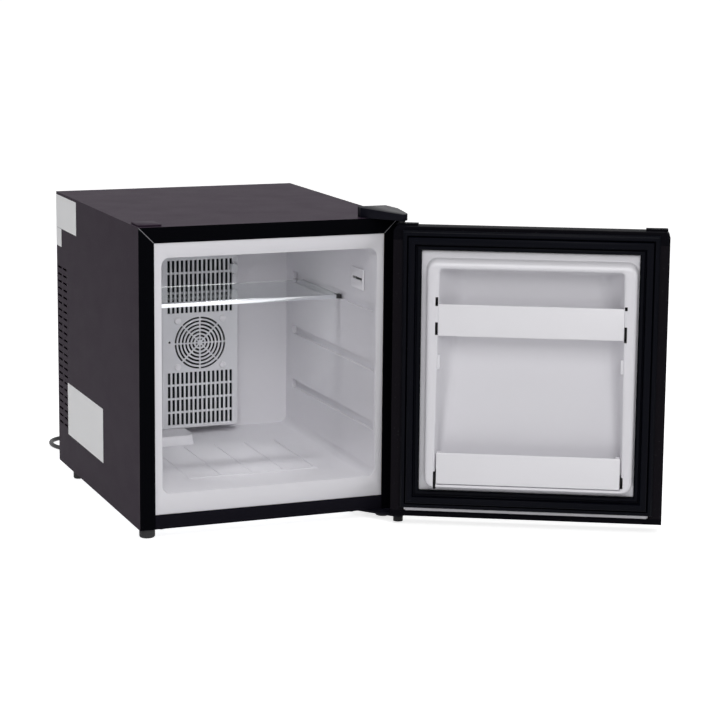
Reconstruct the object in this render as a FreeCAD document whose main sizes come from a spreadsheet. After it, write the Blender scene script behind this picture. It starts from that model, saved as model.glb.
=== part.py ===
import FreeCAD, Part
import math
import os
import re
import Sketcher

# Portable mini fridge, door open, in millimetres. +Z is up and the door faces -Y. The origin is
# the centre of the cabinet's footprint on the floor. Left and right are as seen from the front.

V = FreeCAD.Vector
doc = FreeCAD.newDocument("MiniFridge")
sheet = doc.addObject("Spreadsheet::Sheet", "Sizes")

CABINET = {
    "cabinet_width": 380,
    "cabinet_depth": 448,
    "cabinet_height": 420,
    "feet_height": 13,
    "skin": 1,
    "rear_lip": 14,
    "frame_width": 22,
    "bar_height": 20.2,
    "bar_lip": 20,
    "bar_screw_inset": 11,
    "fit_gap": 0.3,
    "overrun": 5,
}
VENTS = {
    "vent_rows": 23,
    "vent_height": 3.2,
    "vent_pitch": 11,
    "vent_first": 62,
    "vent_length": 22.6,
    "vent_column_gap": 8.2,
    "vent_rear_inset": 7,
    "intake_count": 9,
    "intake_pitch": 34,
    "intake_length": 20,
    "intake_width": 24,
}
FEET = {
    "front_foot_radius": 11,
    "front_foot_inset": 14,
    "rear_foot_radius": 7.5,
    "rear_foot_inset": 10,
    "rear_foot_back": 78,
    "foot_rounding": 3,
}
LINER = {
    "liner_wall": 1.5,
    "liner_depth": 360,
    "opening_side": 32.5,
    "opening_below": 49,
    "opening_above": 42.5,
    "draft_run": 4,
    "opening_radius": 11.5,
    "groove_depth": 3,
    "groove_height": 13,
    "groove_low": 114,
    "groove_pitch": 85,
    "groove_count": 3,
    "groove_front": 10,
    "groove_end": 332,
    "floor_ribs": 5,
    "floor_rib_pitch": 47.5,
    "floor_rib_width": 3,
    "floor_rib_height": 1,
    "floor_rib_front": 70,
    "floor_rib_end": 250,
    "step_width": 128,
    "step_radius": 12,
    "step_front": 262,
    "step_slope": 9,
    "step_height": 11,
    "machine_depth": 64,
    "panel_wall": 1.5,
}
SHELF = {
    "glass_depth": 155,
    "glass_wall": 4,
    "glass_front": 143,
    "glass_side_gap": 2,
    "trim_height": 6,
    "trim_depth": 5,
    "end_cap_length": 8,
}
DUCT = {
    "duct_width": 120,
    "duct_front": 322.5,
    "duct_bottom": 64.5,
    "duct_top": 340,
    "duct_wall": 2,
    "slot_columns": 15,
    "slot_pitch": 7.04,
    "slot_width": 4.1,
    "slot_rows": 4,
    "slot_height": 18,
    "slot_row_pitch": 21,
    "slot_lower_first": 69.5,
    "slot_upper_first": 242,
    "grille_rings": 7,
    "grille_pitch": 5.55,
    "grille_slot": 3,
    "grille_spoke": 2,
    "fan_height": 195,
    "duct_hole_radius": 1.8,
    "duct_hole_side": 48.3,
    "duct_hole_rise": 2.8,
    "cap_radius": 5.1,
    "cap_height": 2,
    "cap_spread": 71.5,
    "clip_width": 10,
    "clip_height": 13,
    "clip_depth": 7,
    "clip_level": 301.5,
    "clip_inset": 2,
    "sensor_radius": 2.2,
    "sensor_length": 18,
}
COOLING = {
    "cold_fan_size": 80,
    "cold_fan_depth": 15,
    "hot_fan_size": 92,
    "hot_fan_depth": 25,
    "fan_bore_margin": 2,
    "fan_hub_share": 0.36,
    "fan_blades": 7,
    "fan_sweep": 34,
    "fan_tip_gap": 1,
    "fan_strut": 5,
    "fan_strut_depth": 3,
    "fan_shaft_radius": 3,
    "fan_hole_radius": 2.2,
    "fan_hole_inset": 4.25,
    "blade_wall": 1.6,
    "cold_sink_base": 4,
    "cold_sink_fins": 14,
    "fin_wall": 1.2,
    "spacer_size": 40,
    "peltier_wall": 4,
    "hot_sink_width": 100,
    "hot_sink_height": 120,
    "hot_sink_base": 6,
    "hot_sink_fins": 18,
    "hot_fin_height": 24,
}
ELECTRICS = {
    "board_length": 110,
    "board_height": 80,
    "board_wall": 1.6,
    "board_side_inset": 28,
    "board_level": 30,
    "board_standoff": 8,
    "standoff_radius": 3,
    "standoff_inset": 7,
    "coil_box": 34,
    "coil_box_depth": 26,
    "can_radius": 7,
    "can_height": 24,
    "can_pitch": 20,
    "can_count": 3,
    "plate_front": 45,
    "plate_length": 46,
    "plate_level": 310,
    "plate_height": 30,
    "plate_wall": 1.5,
    "housing_inset": 3,
    "housing_wall": 1.5,
    "dial_radius": 15,
    "dial_wall": 2.4,
    "dial_slot": 36,
    "dial_slot_height": 3.2,
    "dial_proud": 0.7,
    "dial_teeth": 24,
    "dial_tooth": 0.5,
    "dial_pin_radius": 2,
    "lamp_length": 60,
    "lamp_depth": 22,
    "lamp_wall": 4,
    "lamp_front": 133,
    "lens_margin": 4,
    "lens_wall": 2,
}
HINGES = {
    "pivot_side": 9.7,
    "pivot_front": 33,
    "pin_radius": 4.85,
    "pin_play": 0.1,
    "bracket_wall": 3,
    "nose_radius": 8,
    "bracket_length": 54,
    "bracket_back": 22,
    "cover_height": 15,
    "cover_nose_height": 9,
    "cover_wall": 1.5,
    "under_bracket_back": 48,
    "under_screw_share": 0.72,
    "hinge_screw_radius": 2.2,
    "hinge_screw_head": 4.4,
    "hinge_screw_cap": 2,
    "pin_nut_radius": 7,
    "pin_nut_height": 7,
    "hole_plate_width": 33,
    "hole_plate_depth": 40,
    "hole_plate_side": 3,
    "hole_plate_front": 8,
    "hole_plate_wall": 2.5,
    "hole_plate_radius": 4,
}
DOOR = {
    "door_open": 152,
    "door_gap": 15.3,
    "door_wall": 38,
    "door_below": 2,
    "door_above": 6.3,
    "top_cap": 18.6,
    "bottom_cap": 8.3,
    "cap_wall": 3,
    "cap_room_side": 24,
    "door_rounding": 6,
    "door_lip": 19,
    "cap_rounding": 8,
    "boss_length": 30,
    "boss_width": 14,
    "boss_height": 3,
    "gasket_side": 13.2,
    "gasket_bottom": 12.7,
    "gasket_top": 4.7,
    "gasket_width": 27,
    "gasket_proud": 14.3,
    "gasket_base": 4,
    "gasket_ridge": 6,
    "door_liner_wall": 1.5,
    "lining_shift": 3,
    "dike_side": 46,
    "dike_bottom": 51,
    "dike_top_drop": 50,
    "dike_height": 30,
    "dike_draft": 3,
    "dike_radius": 13.5,
    "pocket_side": 60,
    "pocket_bottom": 55.5,
    "pocket_top_drop": 59,
    "pocket_depth": 40,
    "pocket_draft": 1.5,
    "pocket_radius": 6,
    "lug_length": 6,
    "lug_width": 10,
    "lug_height": 20,
    "lug_spare": 220,
    "lug_rise": 20,
    "lug_setback": 18,
}
RACKS = {
    "rack_end_gap": 3,
    "rack_low": 57.5,
    "rack_high": 267,
    "rack_height": 44,
    "rack_wall": 2,
    "rack_front_wall": 2.5,
    "ear_width": 18,
    "ear_height": 26,
    "rack_end_drop": 10,
}
STICKERS = {
    "sticker_wall": 0.3,
    "sticker_rear_inset": 2,
    "upper_sticker_length": 117,
    "upper_sticker_level": 366,
    "upper_sticker_height": 50,
    "middle_sticker_length": 29,
    "middle_sticker_level": 338,
    "middle_sticker_height": 27.5,
    "lower_sticker_front": 188,
    "lower_sticker_length": 200,
    "lower_sticker_level": 53,
    "lower_sticker_height": 80,
}
LEAD = {
    "cord_radius": 3.4,
    "gland_side": 45,
    "gland_level": 35,
    "gland_length": 30,
    "gland_flange": 9,
    "gland_flange_wall": 2.5,
    "gland_root": 6.5,
    "gland_tip": 4.4,
    "coil_radius": 38,
    "coil_pitch": 7.5,
    "coil_climb": 7.4,
    "coil_layer_halves": 5,
    "coil_tail": 32,
    "plug_length": 34,
    "plug_width": 26,
    "plug_height": 20,
    "plug_neck": 12,
    "blade_pin_length": 17,
    "blade_pin_width": 6.3,
    "blade_pin_wall": 1.5,
    "blade_pin_spread": 12.7,
}
GROUPS = (CABINET, VENTS, FEET, LINER, SHELF, DUCT, COOLING, ELECTRICS, HINGES, DOOR, RACKS, STICKERS, LEAD)

cells = {}
for group in GROUPS:
    for name, value in group.items():
        row = len(cells) + 1
        cells[name] = value
        sheet.set("A%d" % row, name)
        sheet.set("B%d" % row, str(value))
        sheet.setAlias("B%d" % row, name)
doc.recompute()

# Places and sizes that follow from the cells, in words of the cells and of each other.
derived = {
    "left": "-cabinet_width / 2",
    "right": "cabinet_width / 2",
    "front": "-cabinet_depth / 2",
    "back": "cabinet_depth / 2",
    "under": "feet_height",
    "over": "feet_height + cabinet_height",
    "shell_back": "back - panel_wall",
    "pivot_x": "right - pivot_side",
    "pivot_y": "front - pivot_front",
    "liner_rear": "front + liner_depth",
    "foam_back": "back - machine_depth",
    "machine_front": "foam_back + panel_wall + fit_gap",
    "fan_level": "under + fan_height",
    "duct_face": "front + duct_front",
    "glass_low": "under + groove_low + groove_pitch * (groove_count - 1) + fit_gap",
    "wall_left": "left + opening_side",
    "wall_right": "right - opening_side",
    "floor_front": "under + opening_below",
    "ceiling_front": "over - opening_above",
    "door_inner": "front - door_gap",
    "door_outer": "front - door_gap - door_wall",
    "door_low": "under + door_below",
    "door_high": "over - door_above",
    "dike_face": "door_inner + dike_height",
    "pocket_floor": "dike_face - pocket_depth",
    "lug_rear": "dike_face - lug_setback",
    "dike_left": "left + dike_side - lining_shift",
    "dike_right": "right - dike_side - lining_shift",
    "pocket_left": "left + pocket_side - lining_shift",
    "pocket_right": "right - pocket_side - lining_shift",
    "gland_x": "left + gland_side",
    "gland_z": "under + gland_level",
}


def spell(text, prefix):
    """The expression with derived names written out and every cell's name behind the prefix."""
    def swap(match):
        word = match.group(0)
        if word in derived:
            return "(" + spell(derived[word], prefix) + ")"
        return prefix + word if word in cells else word
    return re.sub(r"[A-Za-z_]\w*", swap, str(text))


def num(text):
    """The value of an expression in millimetres, degrees or a count."""
    return float(sheet.evalExpression(spell(text, "")))


def bind(thing, prop, text):
    """Tie a property of an object to an expression of the sizes."""
    thing.setExpression(prop, spell(text, "Sizes."))


def at(thing, x, y, z):
    """Tie an object's place to three expressions."""
    for axis, text in zip("xyz", (x, y, z)):
        bind(thing, "Placement.Base." + axis, text)


pieces = []


def keep(thing, name):
    """Give a finished piece its name and put it on the list of what is written out."""
    thing.Label = name
    pieces.append(thing)
    return thing


def new_body(name):
    """A piece made of features."""
    return keep(doc.addObject("PartDesign::Body", name), name)


def datum(body, role):
    """A plane or axis of the body's own origin."""
    return {thing.Role: thing for thing in body.Origin.OriginFeatures}[role]


def rect(x0, y0, x1, y1):
    """Corner points of a rectangle between two opposite corners."""
    return [(x0, y0), (x1, y0), (x1, y1), (x0, y1)]


def fix(sketch, kind, geometry, point, text):
    """Hold a point of the sketch at a distance from its origin."""
    index = sketch.addConstraint(Sketcher.Constraint(kind, -1, 1, geometry, point, num(text)))
    bind(sketch, "Constraints[%d]" % index, text)


def draw(sketch, outlines):
    """Put closed outlines in a sketch: three words are a circle, a list of pairs is a polygon."""
    for outline in outlines:
        first = sketch.GeometryCount
        if isinstance(outline, tuple):
            x, y, radius = outline
            circle = Part.Circle(V(num(x), num(y), 0), V(0, 0, 1), num(radius))
            sketch.addGeometry(circle, False)
            fix(sketch, "DistanceX", first, 3, x)
            fix(sketch, "DistanceY", first, 3, y)
            index = sketch.addConstraint(Sketcher.Constraint("Radius", first, num(radius)))
            bind(sketch, "Constraints[%d]" % index, radius)
            continue
        corners = [V(num(x), num(y), 0) for x, y in outline]
        count = len(corners)
        for i in range(count):
            sketch.addGeometry(Part.LineSegment(corners[i], corners[(i + 1) % count]), False)
        for i in range(count):
            sketch.addConstraint(Sketcher.Constraint("Coincident", first + i, 2, first + (i + 1) % count, 1))
            fix(sketch, "DistanceX", first + i, 1, outline[i][0])
            fix(sketch, "DistanceY", first + i, 1, outline[i][1])


def sketch_at(body, name, plane, level, outlines):
    """A sketch on one of the body's planes, moved along the axis to a level."""
    sketch = body.newObject("Sketcher::SketchObject", name)
    sketch.AttachmentSupport = [(datum(body, plane), "")]
    sketch.MapMode = "FlatFace"
    bind(sketch, "AttachmentOffset.Base.z", "-(%s)" % level if plane == "XZ_Plane" else level)
    draw(sketch, outlines)
    return sketch


def prism(kind, body, name, plane, low, high, *outlines):
    """A pad or pocket that fills the outlines from one level to a higher one."""
    from_high = (plane == "XZ_Plane") == (kind == "Pad")
    level = high if from_high else low
    sketch = sketch_at(body, name + "_outline", plane, level, outlines)
    feature = body.newObject("PartDesign::" + kind, name)
    feature.Profile = sketch
    feature.Refine = kind == "Pad"
    bind(feature, "Length", "(%s) - (%s)" % (high, low))
    return feature


def pad(body, name, plane, low, high, *outlines):
    """Solid between two levels."""
    return prism("Pad", body, name, plane, low, high, *outlines)


def pocket(body, name, plane, low, high, *outlines):
    """Room cut between two levels."""
    return prism("Pocket", body, name, plane, low, high, *outlines)


def loft(kind, body, name, plane, low, high, outline_low, outline_high):
    """A tapering form between two outlines, added or taken away."""
    feature = body.newObject("PartDesign::%sLoft" % kind, name)
    feature.Profile = sketch_at(body, name + "_low", plane, low, [outline_low])
    feature.Sections = [sketch_at(body, name + "_high", plane, high, [outline_high])]
    return feature


def repeat(body, name, feature, axis, count, pitch):
    """Copies of a feature in a row along an axis."""
    row = body.newObject("PartDesign::LinearPattern", name)
    row.Originals = [feature]
    row.Direction = (datum(body, axis), [""])
    row.Mode = "Spacing"
    row.Refine = False
    row.Occurrences = int(num(count))
    bind(row, "Offset", pitch)
    body.Tip = row
    return row


def around(body, name, feature, axis, count):
    """Copies of a feature spread evenly round an axis of the body's origin."""
    ring = body.newObject("PartDesign::PolarPattern", name)
    ring.Originals = [feature]
    ring.Axis = (datum(body, axis), [""])
    ring.Occurrences = int(num(count))
    body.Tip = ring
    return ring


def rounded(body, name, radius, wanted):
    """Round the edges of the body's last feature that the test wants."""
    doc.recompute()
    base = body.Tip
    edges = ["Edge%d" % (i + 1) for i, edge in enumerate(base.Shape.Edges) if wanted(edge)]
    feature = body.newObject("PartDesign::Fillet", name)
    feature.Base = (base, edges)
    bind(feature, "Radius", radius)
    return feature


def runs(edge, axis):
    """Whether an edge is nearly parallel to an axis."""
    if len(edge.Vertexes) < 2:
        return False
    step = edge.Vertexes[1].Point.sub(edge.Vertexes[0].Point)
    return step.Length > 0 and abs(step.dot(axis)) > 0.95 * step.Length


def middle(edge):
    """Centre of an edge's box."""
    return edge.BoundBox.Center


def block(name, x0, y0, z0, x1, y1, z1):
    """A plain block between two corners."""
    box = doc.addObject("Part::Box", name)
    for prop, low, high in (("Length", x0, x1), ("Width", y0, y1), ("Height", z0, z1)):
        bind(box, prop, "(%s) - (%s)" % (high, low))
    at(box, x0, y0, z0)
    return box


TURN = {
    "up": FreeCAD.Rotation(),
    "down": FreeCAD.Rotation(V(1, 0, 0), 180),
    "back": FreeCAD.Rotation(V(1, 0, 0), -90),
    "forward": FreeCAD.Rotation(V(1, 0, 0), 90),
}


def rod(name, x, y, z, radius, length, way="up"):
    """A round rod from a point, running one of the ways in TURN."""
    cylinder = doc.addObject("Part::Cylinder", name)
    cylinder.Placement.Rotation = TURN[way]
    bind(cylinder, "Radius", radius)
    bind(cylinder, "Height", length)
    at(cylinder, x, y, z)
    return cylinder


def joined(name, *things):
    """Solids fused into one."""
    fuse = doc.addObject("Part::MultiFuse", name)
    fuse.Shapes = list(things)
    return fuse


def grouped(name, things):
    """Separate solids that share one node."""
    group = doc.addObject("Part::Compound", name)
    group.Links = list(things)
    return keep(group, name)


ALONG_X = V(1, 0, 0)
ALONG_Y = V(0, 1, 0)
ALONG_Z = V(0, 0, 1)
UPPER_SCREW_SHARES = (0.82, 0.58, 0.38)
LOWER_SCREW_SHARES = (0.8, 0.3)


def outer_shell():
    """Bent steel wrap: sides, top, the frame round the opening and the rear lip, with vents."""
    body = new_body("outer_shell")
    inner = [("left + skin", "under"), ("left + skin", "over - skin"), ("right - skin", "over - skin"),
             ("right - skin", "under")]
    outer = [("right", "under"), ("right", "over"), ("left", "over"), ("left", "under")]
    pad(body, "wrap", "XZ_Plane", "front", "shell_back", inner + outer)
    face = [("left + frame_width", "under"), ("left + frame_width", "over - frame_width"),
            ("right - frame_width", "over - frame_width"), ("right - frame_width", "under")]
    pad(body, "front_frame", "XZ_Plane", "front", "front + skin", face + outer)
    lip = [("left + rear_lip", "under"), ("left + rear_lip", "over - rear_lip"),
           ("right - rear_lip", "over - rear_lip"), ("right - rear_lip", "under")]
    pad(body, "rear_edge", "XZ_Plane", "shell_back - skin", "shell_back", lip + outer)
    vent_rear = "back - vent_rear_inset"
    vent_front = vent_rear + " - vent_length * 2 - vent_column_gap"
    vent_low = "under + vent_first"
    columns = [rect("%s + %s" % (vent_front, start), vent_low, "%s + %s + vent_length" % (vent_front, start),
                    vent_low + " + vent_height") for start in ("0", "vent_length + vent_column_gap")]
    vent = pocket(body, "vent", "YZ_Plane", "left - overrun", "right + overrun", *columns)
    repeat(body, "vents", vent, "Z_Axis", "vent_rows", "vent_pitch")
    places = [(x, y, "hinge_screw_radius + fit_gap") for x, y in hinge_screw_places()]
    pocket(body, "hinge_holes", "XY_Plane", "over - skin - overrun", "over + overrun", *places)
    pocket(body, "cover_holes", "XZ_Plane", "shell_back - skin", "back", *cover_screw_holes())
    return body


def hinge_screw_places():
    """Where the screws go through the upper hinge's plate, over the cabinet's top."""
    return [("right - bracket_length * %s" % share, "front + bracket_back / 2") for share in UPPER_SCREW_SHARES]


def under_screw_places():
    """Where the screws go through the lower hinge's plate, under the cabinet's floor."""
    return [("right - bracket_length * %s" % share, "front + under_bracket_back * under_screw_share")
            for share in LOWER_SCREW_SHARES]


def bottom_bar():
    """Separate steel bar below the opening: a face and a lip that runs back."""
    body = new_body("bottom_bar")
    profile = [("front", "under"), ("front + bar_lip", "under"), ("front + bar_lip", "under + skin"),
               ("front + skin", "under + skin"), ("front + skin", "under + bar_height"),
               ("front", "under + bar_height")]
    pad(body, "angle", "YZ_Plane", "left + frame_width", "right - frame_width", profile)
    holes = [(x, "front + bar_lip / 2", "hinge_screw_radius + fit_gap") for x in bar_screw_places()]
    pocket(body, "screw_holes", "XY_Plane", "under - overrun", "under + skin + fit_gap", *holes)
    return body


def bar_screw_places():
    """Across places of the two screws through the bar's lip, clear of the left foot and the lower hinge."""
    return ["left + frame_width + bar_screw_inset", "right - bracket_length - bar_screw_inset"]


def screw(name, x, y, z, way):
    """A pan head screw whose head sits on y or z and whose shank runs behind it."""
    head = rod(name + "_head", x, y, z, "hinge_screw_head", "hinge_screw_cap", way)
    shank = rod(name + "_shank", x, y, z, "hinge_screw_radius", "hinge_screw_cap + bracket_wall + skin", way)
    return joined(name, head, shank)


def base_plate():
    """Steel floor of the cabinet with the fan's air intake and an edge for the rear cover."""
    body = new_body("base_plate")
    profile = [("front + bar_lip", "under"), ("shell_back - skin", "under"),
               ("shell_back - skin", "under + rear_lip"), ("shell_back - skin * 2", "under + rear_lip"),
               ("shell_back - skin * 2", "under + skin"), ("front + bar_lip", "under + skin")]
    pad(body, "plate", "YZ_Plane", "left + skin", "right - skin", profile)
    start = "-(intake_count - 1) / 2 * intake_pitch - intake_width / 2"
    intake_y = "foam_back + (machine_depth - intake_length) / 2"
    slot = pocket(body, "intake", "XY_Plane", "under - overrun", "under + skin + overrun",
                  rect(start, intake_y, start + " + intake_width", intake_y + " + intake_length"))
    repeat(body, "intakes", slot, "X_Axis", "intake_count", "intake_pitch")
    holes = [(x, y, "hinge_screw_radius + fit_gap") for x, y in under_screw_places()]
    pocket(body, "hinge_holes", "XY_Plane", "under - overrun", "under + skin + overrun", *holes)
    pocket(body, "cover_holes", "XZ_Plane", "shell_back - skin * 3", "back", *cover_screw_holes())
    return body


def foot(name, x, y, radius, top):
    """A round foot pad with a rounded rim."""
    body = doc.addObject("PartDesign::Body", name)
    pad(body, "pad", "XY_Plane", "0", top, (x, y, radius))
    rounded(body, "rim", "foot_rounding", lambda edge: abs(middle(edge).z) < 0.01 * num(radius))
    return body


def feet():
    """Two pairs of feet; the front right one stands under the lower hinge's plate."""
    y = "front + front_foot_inset"
    grouped("front_feet", [foot("left_foot", "left + front_foot_inset", y, "front_foot_radius", "under"),
                           foot("right_foot", "right - front_foot_inset", y, "front_foot_radius",
                                "under - bracket_wall")])
    y = "back - rear_foot_back"
    grouped("rear_feet", [foot("left_foot", "left + rear_foot_inset", y, "rear_foot_radius", "under"),
                          foot("right_foot", "right - rear_foot_inset", y, "rear_foot_radius", "under")])


def liner_outline(y_share, grow):
    """The liner's inside rectangle at a share of its depth, larger by grow all round."""
    run = "draft_run * %s" % y_share
    return rect("wall_left + %s - (%s)" % (run, grow), "floor_front + %s - (%s)" % (run, grow),
                "wall_right - (%s) + (%s)" % (run, grow), "ceiling_front - (%s) + (%s)" % (run, grow))


def insulation_foam():
    """Foam between the shell and the liner, with room for the bar, the cold block and the dial."""
    body = new_body("insulation_foam")
    gap = "(skin + fit_gap)"
    pad(body, "foam", "XZ_Plane", "front + skin + fit_gap", "foam_back",
        rect("left + " + gap, "under + " + gap, "right - " + gap, "over - " + gap))
    room = "liner_wall + fit_gap"
    loft("Subtractive", body, "cavity", "XZ_Plane", "front", "liner_rear + " + room,
         liner_outline("0", room), liner_outline("1", room))
    pocket(body, "flange_room", "XZ_Plane", "front", "front + skin + liner_wall + fit_gap * 2",
           rect("left + frame_width - rear_lip", "under + bar_height - fit_gap", "right - frame_width + rear_lip",
                "over - frame_width + rear_lip"))
    pocket(body, "bar_room", "XZ_Plane", "front", "front + bar_lip + fit_gap",
           rect("left - overrun", "under - overrun", "right + overrun", "under + bar_height"))
    bulge = "(groove_depth + liner_wall + fit_gap)"
    slot = pocket(body, "groove_room", "XZ_Plane", "front", "front + groove_end + liner_wall + fit_gap",
                  rect("wall_left - " + bulge, "under + groove_low - liner_wall - fit_gap",
                       "wall_right + " + bulge,
                       "under + groove_low + groove_height + liner_wall + fit_gap"))
    repeat(body, "groove_rooms", slot, "Z_Axis", "groove_count", "groove_pitch")
    half = "spacer_size / 2 + fit_gap"
    pocket(body, "cold_block_hole", "XZ_Plane", "liner_rear", "foam_back + overrun",
           rect("-(%s)" % half, "fan_level - (%s)" % half, half, "fan_level + " + half))
    pocket(body, "dial_room", "YZ_Plane", "wall_right - overrun", "right - skin - fit_gap * 2",
           rect("front + plate_front + housing_inset", "under + plate_level + housing_inset",
                "front + plate_front + plate_length - housing_inset",
                "under + plate_level + plate_height - housing_inset"))
    return body


def inner_liner():
    """White moulded tub with shelf grooves, floor ribs and the step over the rear wiring."""
    body = new_body("inner_liner")
    seat = "front + skin"
    pad(body, "flange", "XZ_Plane", seat, seat + " + liner_wall",
        rect("left + frame_width + fit_gap", "under + bar_height + fit_gap", "right - frame_width - fit_gap",
             "over - frame_width - fit_gap"))
    loft("Additive", body, "tub", "XZ_Plane", seat, "liner_rear + liner_wall",
         liner_outline("0", "liner_wall"), liner_outline("1", "liner_wall"))
    bulge = "groove_depth + liner_wall"
    ridge = pad(body, "groove_back", "XZ_Plane", seat, "front + groove_end + liner_wall",
                rect("wall_left - (%s)" % bulge, "under + groove_low - liner_wall", "wall_right + " + bulge,
                     "under + groove_low + groove_height + liner_wall"))
    repeat(body, "groove_backs", ridge, "Z_Axis", "groove_count", "groove_pitch")
    loft("Subtractive", body, "inside", "XZ_Plane", "front", "liner_rear",
         liner_outline("0", "0"), liner_outline("1", "0"))
    corner_z = (num("floor_front"), num("ceiling_front"))
    reach = num("draft_run + liner_wall")

    def inside_corner(edge):
        spot = middle(edge)
        at_side = abs(abs(spot.x) - num("wall_right")) < reach
        at_level = min(abs(spot.z - level) for level in corner_z) < reach
        deep = edge.BoundBox.YLength > num("liner_depth") / 2
        return runs(edge, ALONG_Y) and deep and at_side and at_level

    rounded(body, "inside_corners", "opening_radius", inside_corner)
    groove = pocket(body, "groove", "XZ_Plane", "front + groove_front", "front + groove_end",
                    rect("wall_left - groove_depth", "under + groove_low", "wall_right + groove_depth",
                         "under + groove_low + groove_height"))
    repeat(body, "grooves", groove, "Z_Axis", "groove_count", "groove_pitch")
    half = "spacer_size / 2 + fit_gap"
    pocket(body, "cold_block_hole", "XZ_Plane", "liner_rear - overrun", "liner_rear + overrun",
           rect("-(%s)" % half, "fan_level - (%s)" % half, half, "fan_level + " + half))
    pocket(body, "dial_hole", "YZ_Plane", "wall_right - overrun", "wall_right + overrun",
           rect("front + plate_front + housing_inset", "under + plate_level + housing_inset",
                "front + plate_front + plate_length - housing_inset",
                "under + plate_level + plate_height - housing_inset"))
    floor_step(body)
    floor_ribs(body)
    return body


def floor_step(body):
    """Hollow rise in the floor at the left rear."""
    low = "floor_front + draft_run"
    top = low + " + step_height"
    wall = "liner_wall"
    root = "(%s - %s / 4)" % (wall_at("step_front"), wall)
    end_x = "wall_left + draft_run + step_width"
    pad(body, "step", "YZ_Plane", "wall_left + " + root, end_x,
        [("front + step_front", low), ("front + step_front + step_slope", top), ("liner_rear + %s / 2" % wall, top),
         ("liner_rear + %s / 2" % wall, "floor_front + " + root), ("front + step_front", "floor_front + " + root)])
    reach = num("step_slope")

    def front_corner(edge):
        spot = middle(edge)
        near_end = abs(spot.x - num(end_x)) < num("fit_gap")
        near_front = abs(spot.y - num("front + step_front + step_slope / 2")) < reach / 2
        return near_end and near_front and edge.BoundBox.ZLength > num("step_height") / 2

    rounded(body, "step_corner", "step_radius", front_corner)
    pocket(body, "step_room", "YZ_Plane", "wall_left + draft_run + " + wall, end_x + " - step_radius / 2",
           [("front + step_front + step_radius / 2", "under"), ("front + step_front + step_radius / 2", low),
            ("front + step_front + step_slope + step_radius / 2", top + " - " + wall),
            ("liner_rear", top + " - " + wall), ("liner_rear", "under")])


def floor_ribs(body):
    """Raised lines on the floor that lift what stands there off any water."""
    slope = "draft_run / liner_depth"
    start = "floor_front + %s * floor_rib_front" % slope
    end = "floor_front + %s * floor_rib_end" % slope
    side = "-(floor_ribs - 1) / 2 * floor_rib_pitch"
    profile = [("front + floor_rib_front", start + " - liner_wall / 2"),
               ("front + floor_rib_end", end + " - liner_wall / 2"),
               ("front + floor_rib_end", end + " + floor_rib_height"),
               ("front + floor_rib_front", start + " + floor_rib_height")]
    rib = pad(body, "floor_rib", "YZ_Plane", side + " - floor_rib_width / 2", side + " + floor_rib_width / 2",
              profile)
    repeat(body, "floor_ribs", rib, "X_Axis", "floor_ribs", "floor_rib_pitch")
    pad(body, "floor_line", "YZ_Plane", side, "-(%s)" % side,
        rect("front + floor_rib_front", start + " - liner_wall / 2", "front + floor_rib_front + floor_rib_width",
             start + " + floor_rib_height"))


def wall_at(depth):
    """How far the liner's walls have come in at a depth behind the front."""
    return "draft_run * (%s) / liner_depth" % depth


def glass_shelf():
    """Glass plate that rests in the upper pair of grooves, with a front trim and two end caps."""
    left = "wall_left - groove_depth + glass_side_gap"
    right = "wall_right + groove_depth - glass_side_gap"
    glass_y = "front + glass_front"
    glass_top = "glass_low + glass_wall"
    keep(block("glass", left, glass_y, "glass_low", right, glass_y + " + glass_depth", glass_top), "glass_shelf")
    start = glass_y + " - trim_depth"
    trim_top = "glass_low + trim_height"
    trim = new_body("shelf_trim")
    profile = [(start, "glass_low"), (glass_y, "glass_low"), (glass_y, glass_top),
               (glass_y + " + trim_depth", glass_top), (glass_y + " + trim_depth", trim_top), (start, trim_top)]
    pad(trim, "strip", "YZ_Plane", left + " + end_cap_length", right + " - end_cap_length", profile)
    caps = []
    for name, x in (("left_cap", left), ("right_cap", right + " - end_cap_length")):
        cap = doc.addObject("PartDesign::Body", name)
        pad(cap, "cap", "YZ_Plane", x, x + " + end_cap_length", profile)
        caps.append(cap)
    grouped("shelf_end_caps", caps)


def slot_row(count, pitch, width, z_low, z_high):
    """Outlines of a centred row of upright slots."""
    slots = []
    for i in range(int(num(count))):
        x = "(%d - (%s - 1) / 2) * %s" % (i, count, pitch)
        slots.append(rect("%s - %s / 2" % (x, width), z_low, "%s + %s / 2" % (x, width), z_high))
    return slots


def slot_grid(body, name, bottom):
    """Rows of upright slots in the air duct's face."""
    z = "under + " + bottom
    row = pocket(body, name, "XZ_Plane", "duct_face - overrun", "duct_face + duct_wall",
                 *slot_row("slot_columns", "slot_pitch", "slot_width", z, z + " + slot_height"))
    repeat(body, name + "_rows", row, "Z_Axis", "slot_rows", "slot_row_pitch")


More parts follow.
